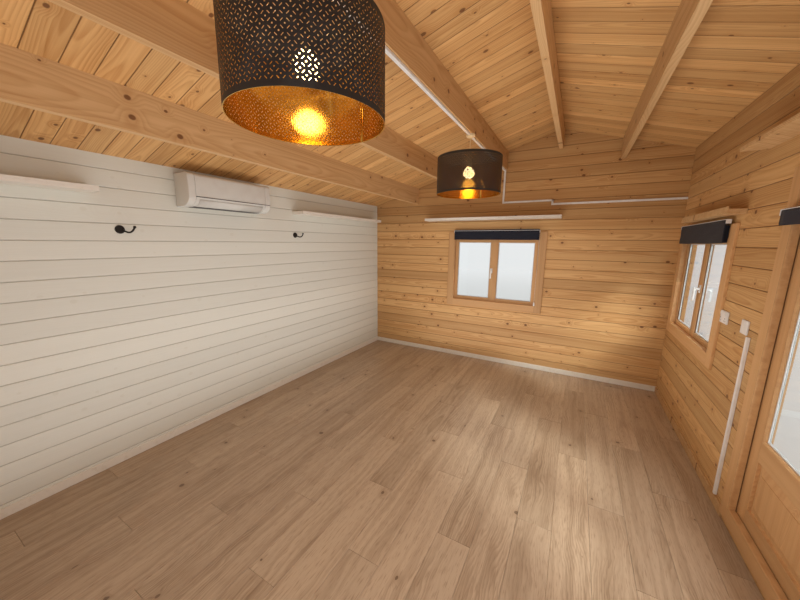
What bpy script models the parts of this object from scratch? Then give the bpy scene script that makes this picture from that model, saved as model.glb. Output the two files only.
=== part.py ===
"""Garden office pod: a 44 mm log building of about 4 by 5 metres with a pitched roof.

Frame: metres, +Z up, origin on the ground under the middle of the roof's outline.
+X faces the side with the double door, +Y the gable with the window.
"""
import math

import bpy
import bmesh
from mathutils import Vector

# Plan of the room, measured between the inner faces of the walls
INNER_WIDTH = 3.79
INNER_LENGTH = 4.90

# Logs
LOG_THICKNESS = 0.044
COURSE_HEIGHT = 0.120
LOG_END = 0.100
GROOVE_DEPTH = 0.005
GROOVE_HALF_HEIGHT = 0.005

# Clearance between pieces that touch
SEAT = 0.0003

# Floor
BEARER_HEIGHT = 0.058
BEARER_WIDTH = 0.070
JOIST_WIDTH = 0.045
JOIST_PITCH = 0.45
FLOOR_THICKNESS = 0.040

# Roof
RIDGE_X = 0.68
RIDGE_ABOVE_FLOOR = 2.962
ROOF_RISE = 0.2905
EAVE_OVERHANG = 0.24
GABLE_OVERHANG = 0.22
ROOF_BOARD_THICKNESS = 0.019
FELT_THICKNESS = 0.006
FELT_DRIP = 0.012
RIDGE_CAP_REACH = 0.13
RIDGE_CAP_THICKNESS = 0.006
TRIM_THICKNESS = 0.019
FASCIA_DEPTH = 0.115
BARGEBOARD_DEPTH = 0.145

# Purlins and ridge beam
PURLIN_WIDTH = 0.045
PURLIN_DEPTH = 0.210
PURLIN_PITCH = 0.62
REAR_PURLINS = ["purlin_rear_high", "purlin_rear_middle", "purlin_rear_low"]

# Timber frames that clamp the cut log ends round a door or a window
FRAME_MEMBER = 0.045
FRAME_FLANGE = 0.040
FLANGE_THICKNESS = 0.018
FLANGE_CHAMFER = 0.003
STOP_DEPTH = 0.010

# Windows, each a pair of sashes
WINDOW_WIDTH = 1.20
WINDOW_COURSES = 8
WINDOW_SILL_COURSES = 7
GABLE_WINDOW_X = -0.02
FRONT_WINDOW_TO_CORNER = 0.13
SASH_THICKNESS = 0.040
SASH_STILE = 0.052
GLASS_THICKNESS = 0.006
GLASS_GROOVE = 0.008
SASH_CHAMFER = 0.005

# Double door
DOOR_CENTRE_Y = -0.322
DOOR_COURSES = 16
LEAF_WIDTH = 0.745
LEAF_THICKNESS = 0.044
LEAF_GAP = 0.006
LEAF_STILE = 0.095
LEAF_TOP_RAIL = 0.100
LEAF_BOTTOM_RAIL = 0.088
LEAF_PANEL_HEIGHT = 0.295
LEAF_MIDDLE_RAIL = 0.120
LEAF_CHAMFER = 0.008
PANEL_RECESS = 0.012
PANEL_BEVEL = 0.050
HINGE_RADIUS = 0.008
HINGE_STANDOFF = 0.010
HINGE_HALF_HEIGHT = 0.045
HINGE_PLATE_WIDTH = 0.040
HINGE_PLATE_THICKNESS = 0.003
HINGE_HEIGHTS = [0.16, 0.92, 1.66]
HANDLE_HEIGHT = 0.95
HANDLE_PLATE = (0.038, 0.22, 0.006)
HANDLE_REACH = 0.048
HANDLE_LEVER = 0.120
HANDLE_RADIUS = 0.009
SPINDLE = 0.008

# Fittings
SHELF_DEPTH = 0.17
SHELF_THICKNESS = 0.032
GABLE_SHELF_X = (-0.98, 0.76)
GABLE_SHELF_ABOVE_FLOOR = 1.955
REAR_SHELF_ABOVE_FLOOR = 1.950
REAR_SHELVES = {"rear_shelf_near": (-2.21, -1.02), "rear_shelf_far": (0.70, 2.30)}
BLIND_WIDTH = 1.10
BLIND_THICKNESS = 0.030
GABLE_BLIND_ABOVE_OPENING = 0.060
GABLE_BLIND_DROP = 0.125
FRONT_BLIND_ABOVE_OPENING = 0.074
FRONT_BLIND_DROP = 0.172
HIGH_SHELF_DEPTH = 0.13
HIGH_SHELF_THICKNESS = 0.022
HIGH_SHELF_Y = (-1.10, 0.88)
HIGH_SHELF_ABOVE_FLOOR = 2.212
AIR_UNIT_CENTRE_Y = -0.12
AIR_UNIT_LENGTH = 0.75
AIR_UNIT_HEIGHT = 0.255
AIR_UNIT_DEPTH = 0.195
AIR_UNIT_TOP_ABOVE_FLOOR = 2.170

# Pendant lamps
PENDANT_Y = {"near": -0.990, "far": 0.936}
SHADE_RADIUS = 0.278
SHADE_HEIGHT = 0.308
SHADE_WALL = 0.002
SHADE_SIDES = 48
SHADE_BOTTOM_ABOVE_FLOOR = 2.074
ROSE_RADIUS = 0.040
ROSE_HEIGHT = 0.028
FLEX_RADIUS = 0.004
HOLDER_RADIUS = 0.020
HOLDER_LENGTH = 0.075
SPOKE_SIZE = 0.005
SPOKE_DROP = 0.020
BULB_RADIUS = 0.047
BULB_NECK_RADIUS = 0.014
BULB_LENGTH = 0.125
BULB_RINGS = 7
FITTING_SIDES = 18

# Levels and faces that follow from the sizes above
floor_top = BEARER_HEIGHT + FLOOR_THICKNESS
wall_base = BEARER_HEIGHT + SEAT
inner_x = INNER_WIDTH / 2
inner_y = INNER_LENGTH / 2
outer_x = inner_x + LOG_THICKNESS
outer_y = inner_y + LOG_THICKNESS
log_end_x = outer_x + LOG_END
log_end_y = outer_y + LOG_END
wall_mid_x = inner_x + LOG_THICKNESS / 2
wall_mid_y = inner_y + LOG_THICKNESS / 2
eave_x = outer_x + EAVE_OVERHANG
verge_y = outer_y + GABLE_OVERHANG
above_roof = floor_top + RIDGE_ABOVE_FLOOR + BARGEBOARD_DEPTH


def roof_under(x, lift=0.0):
    """Height of the underside of the roof boards over a place across the room."""
    return floor_top + RIDGE_ABOVE_FLOOR - ROOF_RISE * abs(x - RIDGE_X) + lift


def side_joint(n):
    """Joint under the n-th course of the front and rear walls."""
    return BEARER_HEIGHT + COURSE_HEIGHT * n


def gable_joint(n):
    """Joint over the n-th course of a gable wall, which starts with half a log."""
    return BEARER_HEIGHT + COURSE_HEIGHT * (n + 0.5)


window_bottom = side_joint(WINDOW_SILL_COURSES)
window_top = side_joint(WINDOW_SILL_COURSES + WINDOW_COURSES)
door_bottom = side_joint(1)
door_top = side_joint(1 + DOOR_COURSES)
door_opening = 2 * LEAF_WIDTH + 3 * LEAF_GAP
door_rough = door_opening + 2 * FRAME_MEMBER
door_near_y = DOOR_CENTRE_Y - door_rough / 2
door_far_y = DOOR_CENTRE_Y + door_rough / 2
window_far_y = inner_y - FRONT_WINDOW_TO_CORNER
window_near_y = window_far_y - WINDOW_WIDTH
front_window_y = (window_near_y + window_far_y) / 2
window_left_x = GABLE_WINDOW_X - WINDOW_WIDTH / 2
window_right_x = GABLE_WINDOW_X + WINDOW_WIDTH / 2

for old in list(bpy.data.objects):
    bpy.data.objects.remove(old, do_unlink=True)


def make_material(name, colour, roughness, metallic=0.0):
    """A Principled material of one plain colour."""
    material = bpy.data.materials.new(name)
    material.use_nodes = True
    shader = material.node_tree.nodes["Principled BSDF"]
    shader.inputs["Base Color"].default_value = (*colour, 1.0)
    shader.inputs["Roughness"].default_value = roughness
    shader.inputs["Metallic"].default_value = metallic
    return material


pine_log = make_material("pine_log", (0.62, 0.36, 0.16), 0.55)
pine_board = make_material("pine_board", (0.66, 0.40, 0.18), 0.55)
pine_joinery = make_material("pine_joinery", (0.60, 0.33, 0.13), 0.45)
oak_floor = make_material("oak_floor", (0.45, 0.29, 0.16), 0.40)
treated_timber = make_material("treated_timber", (0.30, 0.27, 0.16), 0.80)
roofing_felt = make_material("roofing_felt", (0.06, 0.065, 0.07), 0.90)
clear_glass = make_material("clear_glass", (0.80, 0.90, 0.88), 0.05)
door_metal = make_material("door_metal", (0.55, 0.55, 0.56), 0.30, 1.0)
white_paint = make_material("white_paint", (0.80, 0.79, 0.75), 0.50)
white_plastic = make_material("white_plastic", (0.82, 0.82, 0.80), 0.35)
navy_fabric = make_material("navy_fabric", (0.02, 0.03, 0.07), 0.90)
shade_metal = make_material("shade_metal", (0.02, 0.02, 0.02), 0.50, 0.3)
bulb_glass = make_material("bulb_glass", (1.0, 0.80, 0.45), 0.20)


def finish(name, mesh_edit, material, smooth=False):
    """Turns an edited mesh into a named object with its faces pointing out."""
    bmesh.ops.remove_doubles(mesh_edit, verts=mesh_edit.verts, dist=0.00001)
    bmesh.ops.recalc_face_normals(mesh_edit, faces=mesh_edit.faces)
    mesh = bpy.data.meshes.new(name)
    mesh_edit.to_mesh(mesh)
    mesh_edit.free()
    if material is not None:
        mesh.materials.append(material)
    if smooth:
        mesh.shade_smooth()
        mesh.set_sharp_from_angle(angle=math.radians(35))
    piece = bpy.data.objects.new(name, mesh)
    bpy.context.scene.collection.objects.link(piece)
    return piece


def add_prism(mesh_edit, outline, place, start, end):
    """Adds an outline carried from start to end; place turns (a, b, along) into a point."""
    near = [mesh_edit.verts.new(place(a, b, start)) for a, b in outline]
    far = [mesh_edit.verts.new(place(a, b, end)) for a, b in outline]
    mesh_edit.faces.new(near)
    mesh_edit.faces.new(list(reversed(far)))
    for i in range(len(outline)):
        j = (i + 1) % len(outline)
        mesh_edit.faces.new((near[i], far[i], far[j], near[j]))


def along_x(a, b, along):
    """Outline in (Y, Z), carried along X."""
    return Vector((along, a, b))


def along_y(a, b, along):
    """Outline in (X, Z), carried along Y."""
    return Vector((a, along, b))


def along_z(a, b, along):
    """Outline in (X, Y), carried along Z."""
    return Vector((a, b, along))


def make_prism(name, outline, place, start, end, material, smooth=False):
    mesh_edit = bmesh.new()
    add_prism(mesh_edit, outline, place, start, end)
    return finish(name, mesh_edit, material, smooth)


def add_box(mesh_edit, low, high):
    outline = [(low[0], low[1]), (high[0], low[1]), (high[0], high[1]), (low[0], high[1])]
    add_prism(mesh_edit, outline, along_z, low[2], high[2])


def make_box(name, low, high, material):
    mesh_edit = bmesh.new()
    add_box(mesh_edit, low, high)
    return finish(name, mesh_edit, material)


def make_boxes(name, boxes):
    """One cutter made of several boxes that stand apart."""
    mesh_edit = bmesh.new()
    for low, high in boxes:
        add_box(mesh_edit, low, high)
    return finish(name, mesh_edit, None)


def combine(piece, tool, operation):
    """Joins a tool to a piece or cuts it out, and hides the tool."""
    change = piece.modifiers.new(tool.name, "BOOLEAN")
    change.object = tool
    change.operation = operation
    change.solver = "EXACT"
    tool.hide_render = True
    tool.display_type = "WIRE"


def cut(piece, tool):
    combine(piece, tool, "DIFFERENCE")


def join(piece, tool):
    combine(piece, tool, "UNION")


def make_sweep(name, outline, rectangle, place, material):
    """A mitred frame: an outline of (outward, depth) carried round a rectangle."""
    low_a, low_b, high_a, high_b = rectangle
    mesh_edit = bmesh.new()
    rings = []
    for outward, depth in outline:
        corners = [(low_a - outward, low_b - outward), (high_a + outward, low_b - outward),
                   (high_a + outward, high_b + outward), (low_a - outward, high_b + outward)]
        rings.append([mesh_edit.verts.new(place(a, b, depth)) for a, b in corners])
    for i in range(len(rings)):
        j = (i + 1) % len(rings)
        for k in range(4):
            m = (k + 1) % 4
            mesh_edit.faces.new((rings[i][k], rings[i][m], rings[j][m], rings[j][k]))
    return finish(name, mesh_edit, material)


def make_rect_loft(name, rectangle, steps, place):
    """A solid stack of one rectangle, grown by each step's amount at its depth."""
    low_a, low_b, high_a, high_b = rectangle
    mesh_edit = bmesh.new()
    rings = []
    for depth, grow in steps:
        corners = [(low_a - grow, low_b - grow), (high_a + grow, low_b - grow),
                   (high_a + grow, high_b + grow), (low_a - grow, high_b + grow)]
        rings.append([mesh_edit.verts.new(place(a, b, depth)) for a, b in corners])
    for lower, upper in zip(rings, rings[1:]):
        for k in range(4):
            m = (k + 1) % 4
            mesh_edit.faces.new((lower[k], lower[m], upper[m], upper[k]))
    mesh_edit.faces.new(rings[0])
    mesh_edit.faces.new(list(reversed(rings[-1])))
    return finish(name, mesh_edit, None)


# Corner joints: who holds which height where a front or rear wall crosses a gable wall
def side_teeth(side):
    """Heights held by the front (+1) or rear (-1) wall, in halves of a course."""
    limit = roof_under(side * log_end_x) - COURSE_HEIGHT / 2
    teeth = []
    n = 0
    while side_joint(n) + 0.75 * COURSE_HEIGHT < limit:
        teeth.append((side_joint(n) + 0.25 * COURSE_HEIGHT, side_joint(n) + 0.75 * COURSE_HEIGHT))
        n += 1
    return teeth


def between_teeth(teeth):
    """The heights that the gable walls hold at the same corner."""
    lows = [0.0] + [high for low, high in teeth]
    highs = [low for low, high in teeth] + [above_roof]
    return list(zip(lows, highs))


def slot_boxes(heights, mid_x, mid_y):
    """Boxes that clear a crossing, one for each height that the other wall holds."""
    reach = LOG_THICKNESS / 2 + SEAT
    boxes = []
    for low, high in heights:
        boxes.append(((mid_x - reach, mid_y - reach, low - SEAT / 2),
                      (mid_x + reach, mid_y + reach, high + SEAT / 2)))
    return boxes


def log_outline(middle, bottom, top_left, top_right, joints, lower_joint, upper_joint):
    """Section of stacked logs with a V groove on both faces at each joint."""
    half = LOG_THICKNESS / 2
    faces = []
    for side, top in ((1, top_right), (-1, top_left)):
        face = middle + side * half
        deep = middle + side * (half - GROOVE_DEPTH)
        points = [(deep, bottom), (face, bottom + GROOVE_HALF_HEIGHT)] if lower_joint else [(face, bottom)]
        for joint in joints:
            if bottom + 0.02 < joint < top - 0.02:
                points += [(face, joint - GROOVE_HALF_HEIGHT), (deep, joint), (face, joint + GROOVE_HALF_HEIGHT)]
        points += [(face, top - GROOVE_HALF_HEIGHT), (deep, top)] if upper_joint else [(face, top)]
        faces.append(points)
    return faces[0] + list(reversed(faces[1]))


def side_wall(name, side, start, end, first, last=None):
    """A run of logs in the front (+1) or rear (-1) wall, from joint first to joint last or the roof."""
    middle = side * wall_mid_x
    bottom = side_joint(first) + SEAT
    inner_top = roof_under(side * inner_x, -SEAT)
    outer_top = roof_under(side * outer_x, -SEAT)
    tops = (outer_top, inner_top) if side < 0 else (inner_top, outer_top)
    if last is not None:
        tops = (side_joint(last), side_joint(last))
    joints = [side_joint(n) for n in range(first + 1, 40)]
    outline = log_outline(middle, bottom, tops[0], tops[1], joints, first > 0, last is not None)
    wall = make_prism(name, outline, along_y, start, end, pine_log)
    boxes = []
    for end_y in (-wall_mid_y, wall_mid_y):
        if start < end_y < end:
            heights = [(low, high) for low, high in between_teeth(side_teeth(side))
                       if high > bottom and low < max(tops)]
            boxes += slot_boxes(heights, middle, end_y)
    if boxes:
        cut(wall, make_boxes(name + "_notches", boxes))
    return wall


def gable_wall(name, end, start, stop, first, last=None):
    """A run of logs in the window gable (+1) or plain gable (-1), from joint first to last or the roof."""
    middle = end * wall_mid_y
    bottom = wall_base if first < 0 else gable_joint(first) + SEAT
    top = above_roof if last is None else gable_joint(last)
    joints = [gable_joint(n) for n in range(first + 1, 40)]
    joints = [joint for joint in joints if joint < roof_under(RIDGE_X) - 0.03]
    outline = log_outline(middle, bottom, top, top, joints, first >= 0, last is not None)
    wall = make_prism(name, outline, along_x, start, stop, pine_log)
    boxes = []
    for side in (-1, 1):
        if start < side * wall_mid_x < stop:
            heights = [(low, high) for low, high in side_teeth(side) if high > bottom and low < top]
            boxes += slot_boxes(heights, side * wall_mid_x, middle)
    if boxes:
        cut(wall, make_boxes(name + "_notches", boxes))
    return wall


# Floor: a ladder of bearers and joists, and one floor over it
bearers = make_box("floor_bearers", (-wall_mid_x - BEARER_WIDTH / 2, -wall_mid_y - BEARER_WIDTH / 2, 0.0),
                   (wall_mid_x + BEARER_WIDTH / 2, wall_mid_y + BEARER_WIDTH / 2, BEARER_HEIGHT), treated_timber)
bay_x = wall_mid_x - BEARER_WIDTH / 2
bay_y = wall_mid_y - BEARER_WIDTH / 2
bay_count = math.ceil((2 * bay_y + JOIST_WIDTH) / (JOIST_PITCH + JOIST_WIDTH))
bay_length = (2 * bay_y + JOIST_WIDTH) / bay_count - JOIST_WIDTH
bays = []
for n in range(bay_count):
    bay_start = -bay_y + n * (bay_length + JOIST_WIDTH)
    bays.append(((-bay_x, bay_start, -0.01), (bay_x, bay_start + bay_length, BEARER_HEIGHT + 0.01)))
cut(bearers, make_boxes("bearer_bays", bays))
make_box("floor", (-inner_x + SEAT, -inner_y + SEAT, BEARER_HEIGHT + SEAT),
         (inner_x - SEAT, inner_y - SEAT, floor_top), oak_floor)

# Front and rear walls: the first log runs under the door, and whole logs run over it
side_wall("rear_wall", -1, -log_end_y, log_end_y, 0)
side_wall("front_sill_log", 1, -log_end_y, log_end_y, 0, 1)
side_wall("front_wall_beside_door", 1, -log_end_y, door_near_y, 1, 1 + DOOR_COURSES)
side_wall("front_wall_under_window", 1, door_far_y, log_end_y, 1, WINDOW_SILL_COURSES)
window_head = WINDOW_SILL_COURSES + WINDOW_COURSES
side_wall("front_wall_between", 1, door_far_y, window_near_y, WINDOW_SILL_COURSES, window_head)
side_wall("front_wall_corner", 1, window_far_y, log_end_y, WINDOW_SILL_COURSES, window_head)
side_wall("front_wall_over_window", 1, door_far_y, log_end_y, window_head, 1 + DOOR_COURSES)
side_wall("front_wall_top", 1, -log_end_y, log_end_y, 1 + DOOR_COURSES)

# Purlins, each sloped on top to fit under the roof boards
purlin_places = {name: RIDGE_X - PURLIN_PITCH * (n + 1) for n, name in enumerate(REAR_PURLINS)}
purlin_places["ridge_beam"] = RIDGE_X
purlin_places["purlin_front"] = RIDGE_X + PURLIN_PITCH
purlin_end = verge_y - SEAT


def purlin_bottom(x):
    return roof_under(x) - PURLIN_DEPTH


for purlin_name, purlin_x in purlin_places.items():
    left = purlin_x - PURLIN_WIDTH / 2
    right = purlin_x + PURLIN_WIDTH / 2
    section = [(left, purlin_bottom(purlin_x)), (right, purlin_bottom(purlin_x)),
               (right, roof_under(right, -SEAT))]
    if purlin_name == "ridge_beam":
        section.append((purlin_x, roof_under(purlin_x, -SEAT)))
    section.append((left, roof_under(left, -SEAT)))
    make_prism(purlin_name, section, along_y, -purlin_end, purlin_end, pine_board)

# Gable walls: the window gable is built in four runs round its window
gable_runs = [gable_wall("plain_gable_wall", -1, -log_end_x, log_end_x, -1)]
sill_joint = math.ceil((window_bottom - gable_joint(0)) / COURSE_HEIGHT)
head_joint = math.floor((window_top - gable_joint(0)) / COURSE_HEIGHT)
lower_run = gable_wall("window_gable_lower", 1, -log_end_x, log_end_x, -1, sill_joint)
gable_wall("window_gable_left", 1, -log_end_x, window_left_x, sill_joint, head_joint)
gable_wall("window_gable_right", 1, window_right_x, log_end_x, sill_joint, head_joint)
top_run = gable_wall("window_gable_top", 1, -log_end_x, log_end_x, head_joint)
gable_runs.append(top_run)
window_notch = make_box("gable_window_notch", (window_left_x, inner_y - LOG_THICKNESS, window_bottom),
                        (window_right_x, outer_y + LOG_THICKNESS, window_top), None)
cut(lower_run, window_notch)
cut(top_run, window_notch)

roof_line = [(-eave_x, roof_under(-eave_x, -SEAT)), (RIDGE_X, roof_under(RIDGE_X, -SEAT)),
             (eave_x, roof_under(eave_x, -SEAT)), (eave_x, above_roof), (-eave_x, above_roof)]
roof_space = make_prism("roof_space", roof_line, along_y, -verge_y, verge_y, None)
purlin_slots = []
for purlin_x in purlin_places.values():
    purlin_slots.append(((purlin_x - PURLIN_WIDTH / 2 - SEAT, -verge_y, purlin_bottom(purlin_x) - SEAT),
                         (purlin_x + PURLIN_WIDTH / 2 + SEAT, verge_y, above_roof)))
slot_tool = make_boxes("purlin_slots", purlin_slots)
for run in gable_runs:
    cut(run, roof_space)
    cut(run, slot_tool)


# Roof: boards, felt and ridge cap are bands of the same slope at rising levels
def slope_band(from_x, to_x, lower, upper):
    """Outline of a band on the roof slope between two heights over the board's underside."""
    return [(from_x, roof_under(from_x, lower)), (to_x, roof_under(to_x, lower)),
            (to_x, roof_under(to_x, upper)), (from_x, roof_under(from_x, upper))]


slope_factor = math.sqrt(1 + ROOF_RISE ** 2)
board_top = ROOF_BOARD_THICKNESS * slope_factor
felt_bottom = board_top + SEAT
felt_top = felt_bottom + FELT_THICKNESS * slope_factor
cap_bottom = felt_top + SEAT
cap_top = cap_bottom + RIDGE_CAP_THICKNESS * slope_factor
trim_x = eave_x + SEAT + TRIM_THICKNESS
trim_y = verge_y + TRIM_THICKNESS
for slope, side in (("rear", -1), ("front", 1)):
    near_ridge = RIDGE_X + side * SEAT / 2
    make_prism("roof_boards_" + slope, slope_band(near_ridge, side * eave_x, 0.0, board_top), along_y,
               -verge_y + SEAT, verge_y - SEAT, pine_board)
    make_prism("roof_felt_" + slope, slope_band(near_ridge, side * (trim_x + FELT_DRIP), felt_bottom, felt_top),
               along_y, -trim_y - FELT_DRIP, trim_y + FELT_DRIP, roofing_felt)
    fascia_inner = side * (eave_x + SEAT)
    fascia_outer = side * trim_x
    fascia_top = roof_under(fascia_outer, board_top)
    fascia = [(fascia_inner, roof_under(fascia_inner, board_top)), (fascia_outer, fascia_top),
              (fascia_outer, fascia_top - FASCIA_DEPTH), (fascia_inner, fascia_top - FASCIA_DEPTH)]
    make_prism("fascia_" + slope, fascia, along_y, -verge_y + SEAT, verge_y - SEAT, pine_board)
    for gable, end in (("plain", -1), ("window", 1)):
        band = slope_band(near_ridge, side * trim_x, board_top - BARGEBOARD_DEPTH, board_top)
        make_prism(f"bargeboard_{gable}_{slope}", band, along_y, end * (verge_y + SEAT), end * trim_y, pine_board)
cap_left = RIDGE_X - RIDGE_CAP_REACH
cap_right = RIDGE_X + RIDGE_CAP_REACH
ridge_cap = [(cap_left, roof_under(cap_left, cap_bottom)), (RIDGE_X, roof_under(RIDGE_X, cap_bottom)),
             (cap_right, roof_under(cap_right, cap_bottom)), (cap_right, roof_under(cap_right, cap_top)),
             (RIDGE_X, roof_under(RIDGE_X, cap_top)), (cap_left, roof_under(cap_left, cap_top))]
make_prism("ridge_cap", ridge_cap, along_y, -trim_y - FELT_DRIP, trim_y + FELT_DRIP, roofing_felt)


# Door and window frames: a mitred section that clamps the logs and carries a stop
frame_face = LOG_THICKNESS / 2 + SEAT + FLANGE_THICKNESS


def frame_outline(leaf_back):
    """Section of a frame as (outward of the rough opening, depth from the wall's middle)."""
    clamp = LOG_THICKNESS / 2 + SEAT
    lip = FRAME_FLANGE - FLANGE_CHAMFER
    edge = frame_face - FLANGE_CHAMFER
    return [(-FRAME_MEMBER, leaf_back), (-FRAME_MEMBER - STOP_DEPTH, leaf_back),
            (-FRAME_MEMBER - STOP_DEPTH, -edge), (-FRAME_MEMBER - STOP_DEPTH + FLANGE_CHAMFER, -frame_face),
            (lip, -frame_face), (FRAME_FLANGE, -edge), (FRAME_FLANGE, -clamp), (-SEAT, -clamp),
            (-SEAT, clamp), (FRAME_FLANGE, clamp), (FRAME_FLANGE, edge), (lip, frame_face),
            (-FRAME_MEMBER, frame_face)]


def in_gable(a, b, depth):
    """Point of the window gable from (X, Z) and a depth from the wall's middle."""
    return Vector((a, wall_mid_y + depth, b))


def in_front(a, b, depth):
    """Point of the front wall from (Y, Z) and a depth from the wall's middle."""
    return Vector((wall_mid_x + depth, a, b))


def sash_outline():
    """Section of a sash rail, with a groove for the pane."""
    back = frame_face - SASH_THICKNESS
    pane_low = (frame_face + back - GLASS_THICKNESS) / 2 - SEAT
    pane_high = (frame_face + back + GLASS_THICKNESS) / 2 + SEAT
    return [(0.0, back), (0.0, frame_face), (-SASH_STILE + SASH_CHAMFER, frame_face),
            (-SASH_STILE, frame_face - SASH_CHAMFER), (-SASH_STILE, pane_high),
            (-SASH_STILE + GLASS_GROOVE, pane_high), (-SASH_STILE + GLASS_GROOVE, pane_low),
            (-SASH_STILE, pane_low), (-SASH_STILE, back + SASH_CHAMFER), (-SASH_STILE + SASH_CHAMFER, back)]


def make_pane(name, rectangle, middle, place):
    low_a, low_b, high_a, high_b = rectangle
    outline = [(low_a, low_b), (high_a, low_b), (high_a, high_b), (low_a, high_b)]
    half = GLASS_THICKNESS / 2
    return make_prism(name, outline, place, middle - half, middle + half, clear_glass)


def make_window(prefix, centre, place):
    """Frame, two sashes and two panes round a centre along the wall."""
    low = centre - WINDOW_WIDTH / 2
    high = centre + WINDOW_WIDTH / 2
    sash_back = frame_face - SASH_THICKNESS - SEAT
    make_sweep(prefix + "_frame", frame_outline(sash_back), (low, window_bottom, high, window_top), place,
               pine_joinery)
    inset = FRAME_MEMBER + SEAT
    sashes = {"left": (low + inset, centre - SEAT / 2), "right": (centre + SEAT / 2, high - inset)}
    for hand, (start, end) in sashes.items():
        outer = (start, window_bottom + inset, end, window_top - inset)
        make_sweep(f"{prefix}_sash_{hand}", sash_outline(), outer, place, pine_joinery)
        edge = SASH_STILE - GLASS_GROOVE + SEAT
        pane = (outer[0] + edge, outer[1] + edge, outer[2] - edge, outer[3] - edge)
        make_pane(f"{prefix}_glass_{hand}", pane, frame_face - SASH_THICKNESS / 2, place)


make_window("gable_window", GABLE_WINDOW_X, in_gable)
make_window("front_window", front_window_y, in_front)

# Double door: a frame with its halves of the hinges, and two leaves that open outwards
leaf_face = wall_mid_x + frame_face
leaf_back = leaf_face - LEAF_THICKNESS
axis_x = leaf_face + HINGE_STANDOFF
leaf_bottom = door_bottom + FRAME_MEMBER + LEAF_GAP
leaf_top = door_top - FRAME_MEMBER - LEAF_GAP
door_frame = make_sweep("door_frame", frame_outline(frame_face - LEAF_THICKNESS - LEAF_GAP),
                        (door_near_y, door_bottom, door_far_y, door_top), in_front, pine_joinery)


def hinge_half_outline(axis_y, away):
    """Plan of a hinge half: a knuckle on the axis and a plate that lies on the timber."""
    sink = 0.001
    plate_end = axis_y + away * (LEAF_GAP / 2 + HINGE_PLATE_WIDTH)
    plate_start = axis_y + away * (LEAF_GAP / 2 + 0.0005)
    plate_top = leaf_face + HINGE_PLATE_THICKNESS
    low_angle = math.asin((HINGE_PLATE_THICKNESS - HINGE_STANDOFF) / HINGE_RADIUS)
    points = [(leaf_face - sink, plate_end), (plate_top, plate_end)]
    steps = 8
    for n in range(steps + 1):
        angle = low_angle + (math.pi * 1.5 - low_angle) * n / steps
        points.append((axis_x + HINGE_RADIUS * math.sin(angle), axis_y + away * HINGE_RADIUS * math.cos(angle)))
    points += [(axis_x - HINGE_RADIUS, plate_start), (leaf_face - sink, plate_start)]
    return points


def add_hinge_halves(piece, axis_y, away, above):
    """Joins three knuckles to a leaf (above its pin's middle) or to the frame (below it)."""
    mesh_edit = bmesh.new()
    for height in HINGE_HEIGHTS:
        middle = leaf_bottom + height
        start = middle + SEAT / 2 if above else middle - HINGE_HALF_HEIGHT
        end = middle + HINGE_HALF_HEIGHT if above else middle - SEAT / 2
        add_prism(mesh_edit, hinge_half_outline(axis_y, away), along_z, start, end)
    hand = "far" if axis_y > DOOR_CENTRE_Y else "near"
    join(piece, finish(f"{piece.name}_hinges_{hand}", mesh_edit, None))


far_axis_y = door_far_y - FRAME_MEMBER - LEAF_GAP / 2
near_axis_y = door_near_y + FRAME_MEMBER + LEAF_GAP / 2
add_hinge_halves(door_frame, far_axis_y, 1, False)
add_hinge_halves(door_frame, near_axis_y, -1, False)
leaf_spans = {"far": (far_axis_y - LEAF_GAP / 2 - LEAF_WIDTH, far_axis_y - LEAF_GAP / 2, far_axis_y, -1),
              "near": (near_axis_y + LEAF_GAP / 2, near_axis_y + LEAF_GAP / 2 + LEAF_WIDTH, near_axis_y, 1)}
leaf_depth_middle = frame_face - LEAF_THICKNESS / 2
door_leaves = {}
for hand, (start, end, axis_y, away) in leaf_spans.items():
    leaf = make_box("door_leaf_" + hand, (leaf_back, start, leaf_bottom), (leaf_face, end, leaf_top), pine_joinery)
    door_leaves[hand] = leaf
    glass_bottom = leaf_bottom + LEAF_BOTTOM_RAIL + LEAF_PANEL_HEIGHT + LEAF_MIDDLE_RAIL
    light = (start + LEAF_STILE, glass_bottom, end - LEAF_STILE, leaf_top - LEAF_TOP_RAIL)
    half_leaf = LEAF_THICKNESS / 2
    half_groove = GLASS_THICKNESS / 2 + SEAT
    light_steps = [(-half_leaf - 0.001, LEAF_CHAMFER + 0.001), (-half_leaf + LEAF_CHAMFER, 0.0),
                   (-half_groove, 0.0), (-half_groove, GLASS_GROOVE), (half_groove, GLASS_GROOVE),
                   (half_groove, 0.0), (half_leaf - LEAF_CHAMFER, 0.0), (half_leaf + 0.001, LEAF_CHAMFER + 0.001)]
    light_steps = [(leaf_depth_middle + depth, grow) for depth, grow in light_steps]
    cut(leaf, make_rect_loft(f"door_light_{hand}", light, light_steps, in_front))
    reach = GLASS_GROOVE - SEAT
    make_pane("door_glass_" + hand, (light[0] - reach, light[1] - reach, light[2] + reach, light[3] + reach),
              leaf_depth_middle, in_front)
    panel_bottom = leaf_bottom + LEAF_BOTTOM_RAIL
    panel = (light[0], panel_bottom, light[2], panel_bottom + LEAF_PANEL_HEIGHT)
    for face, outward in ((frame_face, 1), (frame_face - LEAF_THICKNESS, -1)):
        margin = [(0.0, face + outward * 0.001), (-0.003, face - outward * PANEL_RECESS),
                  (-0.012, face - outward * PANEL_RECESS), (-PANEL_BEVEL, face - outward * 0.002),
                  (-PANEL_BEVEL, face + outward * 0.001)]
        side_name = "outside" if outward > 0 else "inside"
        cut(leaf, make_sweep(f"door_panel_{hand}_{side_name}", margin, panel, in_front, None))
    add_hinge_halves(leaf, axis_y, away, True)

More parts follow.
